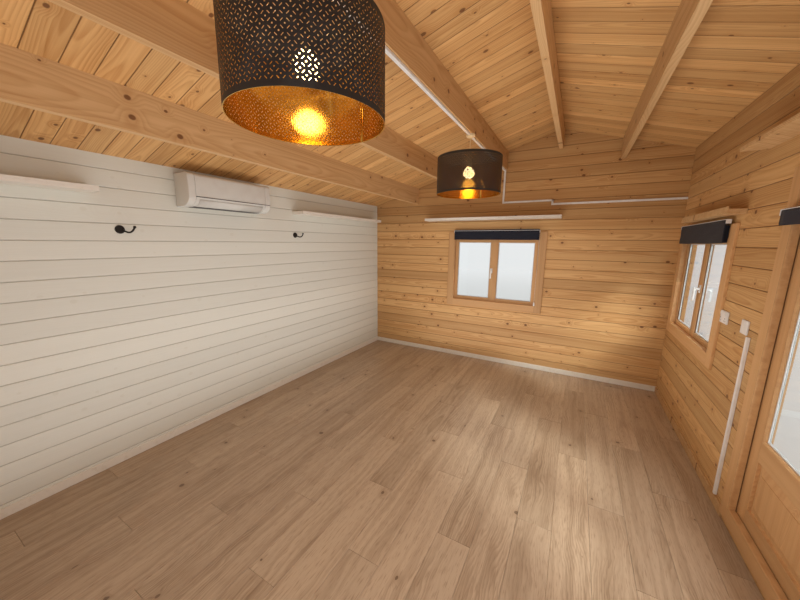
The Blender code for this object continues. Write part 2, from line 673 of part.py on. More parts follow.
# Lever handle: two plates and two levers on one spindle through the near leaf
handle_y = leaf_spans["near"][1] - LEAF_STILE / 2
handle_z = floor_top + HANDLE_HEIGHT
half_spindle = SPINDLE / 2
handle = make_box("door_handle", (leaf_back - HANDLE_REACH, handle_y - half_spindle, handle_z - half_spindle),
                  (leaf_face + HANDLE_REACH, handle_y + half_spindle, handle_z + half_spindle), door_metal)
cut(door_leaves["near"], make_box("spindle_hole", (leaf_back - 0.01, handle_y - half_spindle - SEAT,
                                                   handle_z - half_spindle - SEAT),
                                  (leaf_face + 0.01, handle_y + half_spindle + SEAT,
                                   handle_z + half_spindle + SEAT), None))
plate_width, plate_height, plate_thickness = HANDLE_PLATE
for face, outward, side_name in ((leaf_face, 1, "outside"), (leaf_back, -1, "inside")):
    plate_near = face + outward * SEAT
    plate_far = face + outward * (SEAT + plate_thickness)
    plate_low = (min(plate_near, plate_far), handle_y - plate_width / 2, handle_z - plate_height * 0.6)
    plate_high = (max(plate_near, plate_far), handle_y + plate_width / 2, handle_z + plate_height * 0.4)
    join(handle, make_box("handle_plate_" + side_name, plate_low, plate_high, None))
    lever_x = face + outward * (HANDLE_REACH - HANDLE_RADIUS)
    circle = [(lever_x + HANDLE_RADIUS * math.cos(math.tau * n / 12),
               handle_z + HANDLE_RADIUS * math.sin(math.tau * n / 12)) for n in range(12)]
    join(handle, make_prism("handle_lever_" + side_name, circle, along_y, handle_y + HANDLE_RADIUS,
                            handle_y - HANDLE_LEVER, None))
    neck = [(handle_y + HANDLE_RADIUS * math.cos(math.tau * n / 12),
             handle_z + HANDLE_RADIUS * math.sin(math.tau * n / 12)) for n in range(12)]
    neck_start = plate_near + outward * 0.001
    join(handle, make_prism("handle_neck_" + side_name, neck, along_x, neck_start, lever_x, None))

# Shelves on the window gable, the rear wall and high on the front wall over the door
shelf_z = floor_top + GABLE_SHELF_ABOVE_FLOOR
make_box("gable_shelf", (GABLE_SHELF_X[0], inner_y - SEAT - SHELF_DEPTH, shelf_z),
         (GABLE_SHELF_X[1], inner_y - SEAT, shelf_z + SHELF_THICKNESS), white_paint)
for shelf_name, (start, end) in REAR_SHELVES.items():
    shelf_z = floor_top + REAR_SHELF_ABOVE_FLOOR
    make_box(shelf_name, (-inner_x + SEAT, start, shelf_z),
             (-inner_x + SEAT + SHELF_DEPTH, end, shelf_z + SHELF_THICKNESS), white_paint)
high_shelf_z = floor_top + HIGH_SHELF_ABOVE_FLOOR
make_box("front_high_shelf", (inner_x - SEAT - HIGH_SHELF_DEPTH, HIGH_SHELF_Y[0], high_shelf_z),
         (inner_x - SEAT, HIGH_SHELF_Y[1], high_shelf_z + HIGH_SHELF_THICKNESS), pine_board)

# Roller blinds, raised, each against the inner face of its frame
blind_back = -frame_face - SEAT
blinds = {"gable_window_blind": (GABLE_WINDOW_X, GABLE_BLIND_ABOVE_OPENING, GABLE_BLIND_DROP, in_gable),
          "front_window_blind": (front_window_y, FRONT_BLIND_ABOVE_OPENING, FRONT_BLIND_DROP, in_front)}
for blind_name, (centre, above_opening, drop, place) in blinds.items():
    blind_top = window_top + above_opening
    outline = [(centre - BLIND_WIDTH / 2, blind_top - drop), (centre + BLIND_WIDTH / 2, blind_top - drop),
               (centre + BLIND_WIDTH / 2, blind_top), (centre - BLIND_WIDTH / 2, blind_top)]
    make_prism(blind_name, outline, place, blind_back - BLIND_THICKNESS, blind_back, navy_fabric)

# Air conditioner: one rounded section carried along the rear wall
air_top = floor_top + AIR_UNIT_TOP_ABOVE_FLOOR
air_bottom = air_top - AIR_UNIT_HEIGHT
air_back = -inner_x + SEAT
air_front = air_back + AIR_UNIT_DEPTH
corner = 0.035
belly = 0.110
air_outline = [(air_back, air_bottom), (air_back, air_top)]
for n in range(7):
    angle = math.pi / 2 * (1 - n / 6)
    air_outline.append((air_front - corner + corner * math.cos(angle),
                        air_top - corner + corner * math.sin(angle)))
for n in range(9):
    angle = -math.pi / 2 * n / 8
    air_outline.append((air_front - belly + belly * math.cos(angle),
                        air_bottom + belly * 0.75 + belly * 0.75 * math.sin(angle)))
make_prism("air_conditioner", air_outline, along_y, AIR_UNIT_CENTRE_Y - AIR_UNIT_LENGTH / 2,
           AIR_UNIT_CENTRE_Y + AIR_UNIT_LENGTH / 2, white_plastic, smooth=True)


# Pendant lamps under the high rear purlin
def turned(name, profile, centre, steps, material):
    """A closed profile of (radius, height) turned about a vertical axis."""
    mesh_edit = bmesh.new()
    rings = []
    for radius, height in profile:
        if radius == 0.0:
            rings.append([mesh_edit.verts.new((centre[0], centre[1], height))])
            continue
        ring = []
        for n in range(steps):
            angle = math.tau * n / steps
            ring.append(mesh_edit.verts.new((centre[0] + radius * math.cos(angle),
                                             centre[1] + radius * math.sin(angle), height)))
        rings.append(ring)
    closed = profile[0][0] != 0.0
    pairs = list(zip(rings, rings[1:] + rings[:1])) if closed else list(zip(rings, rings[1:]))
    for lower, upper in pairs:
        for n in range(steps):
            m = (n + 1) % steps
            if len(lower) == 1:
                mesh_edit.faces.new((lower[0], upper[n], upper[m]))
            elif len(upper) == 1:
                mesh_edit.faces.new((lower[n], lower[m], upper[0]))
            else:
                mesh_edit.faces.new((lower[n], lower[m], upper[m], upper[n]))
    return finish(name, mesh_edit, material, smooth=True)


lamp_x = purlin_places["purlin_rear_high"]
rose_top = purlin_bottom(lamp_x) - SEAT
shade_bottom = floor_top + SHADE_BOTTOM_ABOVE_FLOOR
shade_top = shade_bottom + SHADE_HEIGHT
spoke_z = shade_top - SPOKE_DROP
holder_top = spoke_z + 0.020
holder_bottom = holder_top - HOLDER_LENGTH
for place_name, lamp_y in PENDANT_Y.items():
    centre = (lamp_x, lamp_y)
    rose_bottom = rose_top - ROSE_HEIGHT
    fitting_profile = [(0.0, rose_top), (ROSE_RADIUS, rose_top),
                       (ROSE_RADIUS * 0.95, rose_top - ROSE_HEIGHT * 0.6),
                       (ROSE_RADIUS * 0.45, rose_bottom), (FLEX_RADIUS, rose_bottom),
                       (FLEX_RADIUS, holder_top + 0.008), (HOLDER_RADIUS * 0.7, holder_top),
                       (HOLDER_RADIUS, holder_top - 0.010), (HOLDER_RADIUS, holder_bottom),
                       (BULB_NECK_RADIUS + SEAT, holder_bottom), (BULB_NECK_RADIUS + SEAT, holder_bottom + 0.025),
                       (0.0, holder_bottom + 0.025)]
    fitting = turned("pendant_fitting_" + place_name, fitting_profile, centre, FITTING_SIDES, shade_metal)
    spokes = bmesh.new()
    spoke_end = (SHADE_RADIUS - SHADE_WALL) * math.cos(math.pi / SHADE_SIDES) - SEAT
    half_spoke = SPOKE_SIZE / 2
    for n in range(3):
        angle = math.tau * n / 3 + math.pi / 6
        forward = Vector((math.cos(angle), math.sin(angle)))
        sideways = Vector((-math.sin(angle), math.cos(angle)))
        start_at = Vector(centre) + forward * (HOLDER_RADIUS * 0.8)
        end_at = Vector(centre) + forward * spoke_end
        plan = [start_at - sideways * half_spoke, end_at - sideways * half_spoke,
                end_at + sideways * half_spoke, start_at + sideways * half_spoke]
        add_prism(spokes, [tuple(point) for point in plan], along_z, spoke_z - half_spoke, spoke_z + half_spoke)
    join(fitting, finish("pendant_spokes_" + place_name, spokes, None))
    inner_radius = SHADE_RADIUS - SHADE_WALL
    turned("pendant_shade_" + place_name, [(SHADE_RADIUS, shade_bottom), (SHADE_RADIUS, shade_top),
                                           (inner_radius, shade_top), (inner_radius, shade_bottom)],
           centre, SHADE_SIDES, shade_metal)
    bulb_top = holder_bottom + 0.025 - SEAT
    bulb_middle = bulb_top - BULB_LENGTH + BULB_RADIUS
    bulb_profile = [(0.0, bulb_top), (BULB_NECK_RADIUS, bulb_top), (BULB_NECK_RADIUS, holder_bottom - 0.005)]
    for n in range(BULB_RINGS + 1):
        angle = math.radians(60 - 150 * n / BULB_RINGS)
        radius = BULB_RADIUS * math.cos(angle) if n < BULB_RINGS else 0.0
        bulb_profile.append((radius, bulb_middle + BULB_RADIUS * math.sin(angle)))
    turned("pendant_bulb_" + place_name, bulb_profile, centre, FITTING_SIDES, bulb_glass)
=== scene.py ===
import math

import bmesh
import bpy
from mathutils import Matrix, Vector


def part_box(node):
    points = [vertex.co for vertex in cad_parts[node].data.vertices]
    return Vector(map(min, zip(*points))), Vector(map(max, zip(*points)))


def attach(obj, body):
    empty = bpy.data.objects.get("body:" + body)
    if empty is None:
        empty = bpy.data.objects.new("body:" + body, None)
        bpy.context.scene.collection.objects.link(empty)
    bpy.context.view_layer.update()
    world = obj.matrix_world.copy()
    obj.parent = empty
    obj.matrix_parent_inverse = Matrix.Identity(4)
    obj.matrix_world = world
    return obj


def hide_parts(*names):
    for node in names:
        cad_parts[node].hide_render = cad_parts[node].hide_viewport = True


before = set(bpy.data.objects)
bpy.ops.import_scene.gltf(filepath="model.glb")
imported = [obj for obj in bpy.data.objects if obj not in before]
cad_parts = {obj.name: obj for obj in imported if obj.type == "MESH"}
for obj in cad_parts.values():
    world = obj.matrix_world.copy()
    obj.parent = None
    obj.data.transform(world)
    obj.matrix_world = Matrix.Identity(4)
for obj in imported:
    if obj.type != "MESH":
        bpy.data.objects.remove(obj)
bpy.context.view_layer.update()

# Camera: a wide lens at eye height by the plain gable, near the doors, looking
# slantwise down the room to the rear wall and the window gable.
EYE = Vector((0.961, -1.914, 1.746))
EYE_TURN = math.radians(29.0444)
EYE_TILT = math.radians(90.0 - 10.3397)
EYE_ROLL = math.radians(0.5852)
LENS = 14.158
FILM_WIDTH = 36.0

camera = bpy.data.objects.new("camera", bpy.data.cameras.new("camera"))
bpy.context.scene.collection.objects.link(camera)
camera.data.lens = LENS
camera.data.sensor_width = FILM_WIDTH
camera.data.clip_start = 0.05
camera.matrix_world = (Matrix.Translation(EYE) @ Matrix.Rotation(EYE_TURN, 4, "Z")
                       @ Matrix.Rotation(EYE_TILT, 4, "X") @ Matrix.Rotation(EYE_ROLL, 4, "Z"))
bpy.context.scene.camera = camera


# Studio: a plain pale floor, an even pale sky and one broad sun from the door side.
# Panels nobody sees stand in for the daylight that comes through the glass.
STUDIO_FLOOR = 60.0
STUDIO_COLOUR = (0.80, 0.80, 0.79, 1.0)
SKY_COLOUR = (0.97, 0.98, 1.0, 1.0)
SKY_LIGHT = 0.50
SKY_SEEN = 0.92
FLOOR_FADE = (6.5, 20.0)
SUN_STRENGTH = 2.1
SUN_SPREAD = math.radians(12)
SUN_FROM = Vector((0.80, -0.52, 0.78))
DAYLIGHT = (0.98, 0.99, 1.0)


# Helpers for the shader nodes of every finish below.
def feed(node, key, value):
    """Gives a node's socket a plain value or another node's output."""
    if isinstance(value, bpy.types.NodeSocket):
        node.id_data.links.new(value, node.inputs[key])
    else:
        node.inputs[key].default_value = value


def put(kind, sockets=None, tree=None, **settings):
    """Adds a shader node, to the tree of the outputs that feed it where no tree is given."""
    sockets = sockets or {}
    if tree is None:
        outputs = [value for value in sockets.values() if isinstance(value, bpy.types.NodeSocket)]
        tree = outputs[0].id_data
    node = tree.nodes.new(kind)
    for name, value in settings.items():
        setattr(node, name, value)
    for key, value in sockets.items():
        feed(node, key, value)
    return node


def calc(operation, *values, tree=None):
    """One step of arithmetic between outputs and numbers."""
    return put("ShaderNodeMath", dict(enumerate(values)), tree, operation=operation).outputs[0]


def blend(amount, first, second, kind="MIX"):
    """A colour between two colours."""
    node = put("ShaderNodeMix", {0: amount, 6: first, 7: second}, data_type="RGBA", blend_type=kind)
    return node.outputs[2]


def fade(value, start, end, low=0.0, high=1.0):
    """A soft step from low to high as value goes from start to end."""
    sockets = {0: value, 1: start, 2: end, 3: low, 4: high}
    return put("ShaderNodeMapRange", sockets, interpolation_type="SMOOTHSTEP").outputs[0]


def point(x=0.0, y=0.0, z=0.0):
    return put("ShaderNodeCombineXYZ", {0: x, 1: y, 2: z}).outputs[0]


def length_of(vector):
    return put("ShaderNodeVectorMath", {0: vector}, operation="LENGTH").outputs["Value"]


def scaled(vector, scale):
    return put("ShaderNodeMapping", {"Vector": vector, "Scale": scale}).outputs[0]


def spread(colour):
    """The three parts of a colour, as sockets."""
    return put("ShaderNodeSeparateColor", {0: colour}).outputs


def noise(vector, scale, detail=2.0, roughness=0.5):
    sockets = {"Vector": vector, "Scale": scale, "Detail": detail, "Roughness": roughness}
    return put("ShaderNodeTexNoise", sockets).outputs["Fac"]


def object_point(finish):
    """The point that is shaded, in metres in the pod's frame."""
    return put("ShaderNodeTexCoord", tree=finish.node_tree).outputs["Object"]


def place_in(finish):
    """X, Y and Z of the point that is shaded."""
    return put("ShaderNodeSeparateXYZ", {0: object_point(finish)}).outputs


def darken(colour, tone):
    """The colour times a grey, where tone is a socket of 0 to 1 or a little over."""
    grey = put("ShaderNodeCombineColor", {0: tone, 1: tone, 2: tone}).outputs[0]
    return blend(1.0, colour, grey, "MULTIPLY")


def emboss(shader, height, strength, distance):
    """Gives a finish the relief of a height."""
    relief = put("ShaderNodeBump", {"Height": height, "Strength": strength, "Distance": distance})
    feed(shader, "Normal", relief.outputs[0])


def new_finish(name, roughness=0.5, metallic=0.0):
    """An empty Principled material, with its shader."""
    finish = bpy.data.materials.new(name)
    finish.use_nodes = True
    shader = finish.node_tree.nodes["Principled BSDF"]
    feed(shader, "Roughness", roughness)
    feed(shader, "Metallic", metallic)
    return finish, shader


def mottled(name, roughness, metallic, scale, dark, pale, detail=2.0):
    """A finish that wavers between two colours, with its shader and its pattern."""
    finish, shader = new_finish(name, roughness, metallic)
    pattern = noise(object_point(finish), scale, detail)
    feed(shader, "Base Color", blend(pattern, dark, pale))
    return finish, shader, pattern


def show(finish, surface):
    """Lets a finish show this surface, and not its shader alone."""
    feed(finish.node_tree.nodes["Material Output"], "Surface", surface)


sky = bpy.data.worlds.new("sky")
sky.use_nodes = True
bpy.context.scene.world = sky
path = put("ShaderNodeLightPath", tree=sky.node_tree).outputs
seen = calc("MAXIMUM", path["Is Camera Ray"], path["Is Glossy Ray"])
seen = calc("MAXIMUM", seen, path["Is Transmission Ray"])
backdrop = sky.node_tree.nodes["Background"]
feed(backdrop, "Color", SKY_COLOUR)
feed(backdrop, "Strength", calc("MULTIPLY_ADD", seen, SKY_SEEN - SKY_LIGHT, SKY_LIGHT))
bpy.context.scene.view_settings.view_transform = "Standard"

ground_mesh = bmesh.new()
bmesh.ops.create_grid(ground_mesh, x_segments=1, y_segments=1, size=STUDIO_FLOOR / 2)
ground_data = bpy.data.meshes.new("studio_floor")
ground_mesh.to_mesh(ground_data)
ground_mesh.free()
ground = bpy.data.objects.new("studio_floor", ground_data)
bpy.context.scene.collection.objects.link(ground)
ground_finish, ground_shader = new_finish("studio_floor", 0.9)
feed(ground_shader, "Base Color", STUDIO_COLOUR)
far_off = fade(length_of(object_point(ground_finish)), *FLOOR_FADE)
haze = put("ShaderNodeEmission", {"Color": SKY_COLOUR, "Strength": SKY_SEEN}, ground_finish.node_tree)
ground_sockets = {0: far_off, 1: ground_shader.outputs[0], 2: haze.outputs[0]}
show(ground_finish, put("ShaderNodeMixShader", ground_sockets).outputs[0])
ground_data.materials.append(ground_finish)

sun = bpy.data.objects.new("sun", bpy.data.lights.new("sun", "SUN"))
sun.data.energy = SUN_STRENGTH
sun.data.angle = SUN_SPREAD
sun.data.color = DAYLIGHT
sun.rotation_euler = SUN_FROM.to_track_quat("Z", "Y").to_euler()
bpy.context.scene.collection.objects.link(sun)


def light_panel(name, at, facing, width, height, power):
    """A soft rectangular lamp that the camera doesn't see."""
    panel = bpy.data.objects.new(name, bpy.data.lights.new(name, "AREA"))
    panel.data.shape = "RECTANGLE"
    panel.data.size = width
    panel.data.size_y = height
    panel.data.energy = power
    panel.data.color = DAYLIGHT
    panel.location = at
    panel.rotation_euler = (-Vector(facing)).to_track_quat("Z", "Y").to_euler()
    panel.visible_camera = False
    panel.visible_glossy = False
    panel.visible_transmission = False
    bpy.context.scene.collection.objects.link(panel)


light_panel("light_from_above", (0.3, 0.1, 2.05), (-0.20, 0, -1), 4.2, 2.2, 14.0)
light_panel("light_off_the_floor", (-0.1, 0.1, 0.16), (0, 0, 1), 2.2, 4.2, 43.0)
light_panel("light_by_plain_gable", (0.8, -2.10, 1.35), (-0.35, 1, 0), 1.8, 1.6, 19.0)
light_panel("light_through_door", (1.80, -0.32, 1.20), (-1, 0, 0), 1.3, 1.7, 9.0)


# Bearers and joists: pressure-treated softwood under the walls and the floor,
# brown-green and rough sawn. How every board's grain is drawn stands here too.
TREATED_PALE = (0.33, 0.27, 0.15, 1.0)
TREATED_DARK = (0.17, 0.15, 0.085, 1.0)
KNOT_BROWN = (0.15, 0.055, 0.018, 1.0)
RING_WIDTH = 0.0085
KNOT_GAP = 0.18
KNOT_SIZE = 0.0185
FIBRE_STRETCH = 5.0
FIBRE_FINENESS = 330.0


def growth(run, across, depth, board, ring=RING_WIDTH, knots=0.70):
    """Growth rings, fibre, streaks and knots of one sawn board, from sockets that say
    how far along, across and into the board the point lies and which board it is."""
    tree = run.id_data
    luck = spread(put("ShaderNodeTexWhiteNoise", {"W": board}, tree, noise_dimensions="1D").outputs["Color"])
    shifted = calc("MULTIPLY_ADD", board, 7.31, run)
    wander = put("ShaderNodeTexNoise", {"W": shifted, "Scale": 0.9, "Detail": 1.0}, noise_dimensions="1D")
    wander = spread(wander.outputs["Color"])
    side = calc("MULTIPLY_ADD", wander[0], 0.12, calc("MULTIPLY_ADD", luck[0], -0.15, across))
    deep = calc("MULTIPLY_ADD", wander[1], 0.06, calc("MULTIPLY_ADD", luck[1], 0.09, depth))
    rings = calc("DIVIDE", length_of(point(side, deep)), ring)
    knot, swell = 0.0, 0.0
    if knots:
        spot = point(calc("MULTIPLY", shifted, 0.8), calc("MULTIPLY_ADD", board, 0.37, across))
        cells = put("ShaderNodeTexVoronoi", {"Vector": spot, "Scale": 1 / KNOT_GAP},
                    voronoi_dimensions="2D").outputs
        away = put("ShaderNodeVectorMath", {0: spot, 1: cells["Position"]}, operation="DISTANCE")
        away = away.outputs["Value"]
        size = put("ShaderNodeMapRange", {0: spread(cells["Color"])[0], 1: 1.0 - knots, 2: 1.0, 3: 0.0,
                                          4: KNOT_SIZE}).outputs[0]
        knot = fade(away, size, calc("MULTIPLY", size, 0.6))
        swell = fade(away, calc("MULTIPLY", size, 4.5), 0.0)
        rings = calc("MULTIPLY_ADD", swell, 2.4, rings)
    late = put("ShaderNodeValToRGB", {0: calc("FRACT", rings)})
    stops = late.color_ramp.elements
    stops[0].position, stops[0].color = 0.25, (0.0, 0.0, 0.0, 1.0)
    stops[1].position, stops[1].color = 1.0, (0.0, 0.0, 0.0, 1.0)
    stops.new(0.86).color = (1.0, 1.0, 1.0, 1.0)
    stretched = point(calc("MULTIPLY", shifted, FIBRE_STRETCH), calc("MULTIPLY", across, FIBRE_FINENESS),
                      calc("MULTIPLY", depth, FIBRE_FINENESS, tree=tree))
    return {"late": late.outputs[0], "fibre": noise(stretched, 1.0),
            "streak": noise(stretched, 0.09, 3.0, 0.6), "knot": knot, "swell": swell, "luck": luck}


def timber_colour(wood, pale, dark, contrast=0.48, knot_colour=KNOT_BROWN, vary=0.28):
    """Mixes a board's colour from its growth: dark rings, streaks, knots and its own tone."""
    amount = calc("MULTIPLY", wood["late"], contrast)
    amount = calc("MULTIPLY_ADD", fade(wood["streak"], 0.38, 0.72), 0.45, amount)
    amount = calc("MULTIPLY_ADD", wood["fibre"], 0.22, amount)
    amount = calc("MULTIPLY_ADD", wood["luck"][2], 0.30, amount)
    amount = calc("SUBTRACT", amount, 0.18)
    colour = blend(amount, pale, dark)
    colour = darken(colour, calc("MULTIPLY_ADD", wood["luck"][1], vary, 1.0 - vary / 2))
    if isinstance(wood["knot"], bpy.types.NodeSocket):
        colour = blend(calc("MULTIPLY", wood["swell"], 0.38), colour, dark)
        colour = blend(calc("MULTIPLY", wood["knot"], 0.88), colour, knot_colour)
    return colour


def dress(shader, colour, wood, roughness=(0.50, 0.66), bump=0.25):
    """Connects colour, gloss and relief; the late wood stands a little proud."""
    feed(shader, "Base Color", colour)
    feed(shader, "Roughness", fade(wood["fibre"], 0.3, 0.7, *roughness))
    emboss(shader, calc("MULTIPLY_ADD", wood["late"], 0.6, wood["fibre"]), bump, 0.0008)


def retouch(names, finish):
    """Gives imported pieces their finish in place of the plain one."""
    for name in names:
        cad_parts[name].data.materials.clear()
        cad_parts[name].data.materials.append(finish)


def nodes_from(*starts):
    """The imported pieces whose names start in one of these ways."""
    return [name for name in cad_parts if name.startswith(starts)]


treated_timber, shader = new_finish("treated_timber")
x, y, z = place_in(treated_timber)
wood = growth(calc("ADD", x, y), z, calc("SUBTRACT", x, y), 3.0)
colour = timber_colour(wood, TREATED_PALE, TREATED_DARK)
dress(shader, colour, wood, (0.75, 0.9), 0.5)
retouch(["floor_bearers"], treated_timber)


# Floor: boards across the joists, and over them laminate planks with an oak look,
# laid along the room with their ends staggered and a fine bevel on every edge.
BOARD_FLOOR_PITCH = 0.120
BOARD_FLOOR_BEVEL = 0.0015
PLANK_WIDTH = 0.192
PLANK_LENGTH = 1.285
PLANK_THICKNESS = 0.012
PLANK_BEVEL = 0.0012
PLANK_GAP = 0.0004
PLANK_STUB = 0.02
OAK_PALE = (0.49, 0.366, 0.248, 1.0)
OAK_DARK = (0.26, 0.172, 0.102, 1.0)
OAK_PORE = (0.20, 0.120, 0.066, 1.0)
OAK_KNOT = (0.13, 0.075, 0.040, 1.0)
OAK_RING = 0.014
PINE_PALE = (0.66, 0.420, 0.200, 1.0)
PINE_DARK = (0.46, 0.230, 0.082, 1.0)


def add_block(mesh, low, high, edge=0.0, segments=1, number=None):
    """Adds a block with eased edges to a mesh being made; number marks which board it is."""
    known = set(mesh.faces)
    corners = bmesh.ops.create_cube(mesh, size=1.0)["verts"]
    bmesh.ops.scale(mesh, vec=Vector(high) - Vector(low), verts=corners)
    bmesh.ops.translate(mesh, vec=(Vector(low) + Vector(high)) / 2, verts=corners)
    if edge:
        edges = list({line for corner in corners for line in corner.link_edges})
        bmesh.ops.bevel(mesh, geom=edges, offset=edge, segments=segments, profile=0.5, affect="EDGES",
                        material=-1)
    faces = [face for face in mesh.faces if face not in known]
    if number is not None:
        layer = mesh.faces.layers.float["board"]
        for face in faces:
            face[layer] = number
    return faces


def finished(name, mesh, finishes, body="pod", smooth=None, stands_for=()):
    """Turns an edited mesh into a piece that rides on its body and shows its finishes."""
    data = bpy.data.meshes.new(name)
    mesh.to_mesh(data)
    mesh.free()
    for finish in finishes:
        data.materials.append(finish)
    if smooth:
        data.shade_smooth()
        data.set_sharp_from_angle(angle=math.radians(smooth))
    piece = bpy.data.objects.new(name, data)
    bpy.context.scene.collection.objects.link(piece)
    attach(piece, body)
    if stands_for:
        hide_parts(*stands_for)
    return piece


def numbered_mesh():
    """An empty mesh whose faces can say which board they are of."""
    mesh = bmesh.new()
    mesh.faces.layers.float.new("board")
    return mesh


def board_number(finish):
    return put("ShaderNodeAttribute", tree=finish.node_tree, attribute_name="board").outputs["Fac"]


def stretched_noise(run, across, board, along_scale, across_scale, detail):
    """Noise that is drawn out along a plank, different on each one."""
    spot = point(calc("MULTIPLY", run, along_scale), calc("MULTIPLY", across, across_scale), board)
    return noise(spot, 1.0, detail)


oak_floor, shader = new_finish("oak_floor")
x, y, z = place_in(oak_floor)
plank = board_number(oak_floor)
along = calc("MULTIPLY_ADD", plank, 3.17, y)
swirl = stretched_noise(along, x, plank, 2.4, 9.0, 3.0)
figure = stretched_noise(along, x, plank, 1.4, 5.0, 2.0)
pores = stretched_noise(along, x, plank, 15.0, 190.0, 2.0)
wood = growth(y, calc("MULTIPLY_ADD", swirl, 0.10, x), z, plank, OAK_RING, 0.20)
wood["late"] = calc("MULTIPLY", wood["late"], fade(figure, 0.40, 0.64))
colour = timber_colour(wood, OAK_PALE, OAK_DARK, 0.50, OAK_KNOT, 0.14)
smoke = calc("MULTIPLY", fade(swirl, 0.50, 0.72), fade(figure, 0.44, 0.62))
colour = blend(calc("MULTIPLY", smoke, 0.55), colour, OAK_DARK)
colour = blend(fade(pores, 0.52, 0.74, 0.0, 0.55), colour, OAK_PORE)
dress(shader, colour, wood, (0.32, 0.44), 0.12)

pine_board_floor, shader = new_finish("pine_floor_board")
x, y, z = place_in(pine_board_floor)
wood = growth(y, x, z, board_number(pine_board_floor))
dress(shader, timber_colour(wood, PINE_PALE, PINE_DARK), wood)

floor_low, floor_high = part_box("floor")
plank_bottom = floor_high[2] - PLANK_THICKNESS
mesh = numbered_mesh()
board_count = round((floor_high[0] - floor_low[0]) / BOARD_FLOOR_PITCH)
board_pitch = (floor_high[0] - floor_low[0]) / board_count
for n in range(board_count):
    left = floor_low[0] + n * board_pitch
    add_block(mesh, (left, floor_low[1], floor_low[2]), (left + board_pitch, floor_high[1], plank_bottom),
              BOARD_FLOOR_BEVEL, number=n)
finished("floor_boards", mesh, [pine_board_floor], stands_for=["floor"])

mesh = numbered_mesh()
number = 0
row_count = math.ceil((floor_high[0] - floor_low[0]) / PLANK_WIDTH)
for row in range(row_count):
    left = floor_low[0] + row * PLANK_WIDTH
    right = min(left + PLANK_WIDTH, floor_high[0])
    start = floor_low[1] - (row * 0.37 % 1.0) * PLANK_LENGTH
    while start < floor_high[1] - PLANK_STUB:
        near, far = max(start, floor_low[1]), min(start + PLANK_LENGTH, floor_high[1])
        if far - near > PLANK_STUB:
            add_block(mesh, (left + PLANK_GAP, near + PLANK_GAP, plank_bottom),
                      (right - PLANK_GAP, far - PLANK_GAP, floor_high[2]), PLANK_BEVEL, number=number)
        number += 1
        start += PLANK_LENGTH
finished("floor_planks", mesh, [oak_floor], stands_for=["floor"])


# Log walls: planed pine logs 120 mm high with a V joint, laid on their tongues. Those of
# the gables lie half a course lower, so that the crossed ends lock at the corners.
COURSE = 0.120
SIDE_JOINT = 0.058
GABLE_JOINT = 0.118
WALL_MIDDLE_X = 1.917
WALL_MIDDLE_Y = 2.472
LOG_PALE = (0.64, 0.400, 0.175, 1.0)
LOG_DARK = (0.44, 0.215, 0.070, 1.0)
# Painted shade for the V joints between logs and boards and for the butt joints of the joinery.
JOINT_PAINTED_SHADE = (0.10, 0.040, 0.012, 1.0)
LOG_END_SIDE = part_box("rear_wall")[1][1]
LOG_END_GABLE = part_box("plain_gable_wall")[1][0]
SPLASH_TOP = 0.55
SPLASH_BROWN = (0.235, 0.165, 0.095, 1.0)


def end_grain(colour, run, end):
    """Darkens the sawn faces that lie a given way from the middle, along the grain."""
    sawn = fade(calc("ABSOLUTE", run), end - 0.0012, end - 0.0006)
    return darken(colour, calc("MULTIPLY_ADD", sawn, -0.34, 1.0))


def weathered(colour, spot, outside, z):
    """Greys a wall a little on its outer face where rain splashes up from the ground."""
    height = calc("MULTIPLY_ADD", noise(spot, 5.0, 3.0), 0.35, z)
    splash = calc("MULTIPLY", fade(height, SPLASH_TOP, 0.10), outside)
    return blend(calc("MULTIPLY", splash, 0.55), colour, SPLASH_BROWN)


def courses(at, first_joint, pitch, seed):
    """Which log or board a place lies in, and how far it is from that one's middle."""
    place = calc("DIVIDE", calc("SUBTRACT", at, first_joint), pitch)
    across = calc("MULTIPLY_ADD", calc("FRACT", place), pitch, -pitch / 2)
    return calc("ADD", calc("FLOOR", place), seed), across


def shaded_joint(colour, across, start, end):
    """Paints shade into the joint at the edges of a log or board, and gives the joint too."""
    joint = fade(calc("ABSOLUTE", across), start, end)
    return blend(calc("MULTIPLY", joint, 0.65), colour, JOINT_PAINTED_SHADE), joint


def log_finish(name, along, first_joint, wall_middle, seed):
    """Planed pine logs that run along X or Y, each with its own heart and knots."""
    finish, shader = new_finish(name)
    x, y, z = place_in(finish)
    run, through, end = (y, x, LOG_END_SIDE) if along == "y" else (x, y, LOG_END_GABLE)
    number, across = courses(z, first_joint, COURSE, seed)
    depth = calc("SUBTRACT", calc("ABSOLUTE", through), wall_middle)
    wood = growth(run, across, depth, number)
    colour = end_grain(timber_colour(wood, LOG_PALE, LOG_DARK), run, end)
    colour = weathered(colour, object_point(finish), calc("GREATER_THAN", depth, 0.0), z)
    colour, joint = shaded_joint(colour, across, COURSE / 2 - 0.0035, COURSE / 2 - 0.0010)
    dress(shader, colour, wood)
    return finish, shader, colour, joint, wood, (x, y, z)


front_logs = log_finish("front_logs", "y", SIDE_JOINT, WALL_MIDDLE_X, 40.0)[0]
gable_logs = log_finish("gable_logs", "x", GABLE_JOINT, WALL_MIDDLE_Y, 90.0)[0]
retouch(nodes_from("front_wall_", "front_sill_log"), front_logs)
retouch(nodes_from("plain_gable_wall", "window_gable_"), gable_logs)


# Rear wall: the same logs, but painted white on the room side in two thin coats, through
# which the grain and the knots still show a little. The grey in the joints is painted shade.
PAINT = (0.72, 0.73, 0.665, 1.0)
PAINT_WORN = (0.62, 0.61, 0.52, 1.0)
PAINT_JOINT_SHADE = (0.48, 0.47, 0.42, 1.0)
ROOM_FACE_X = -1.895
ROOM_END_Y = 2.45

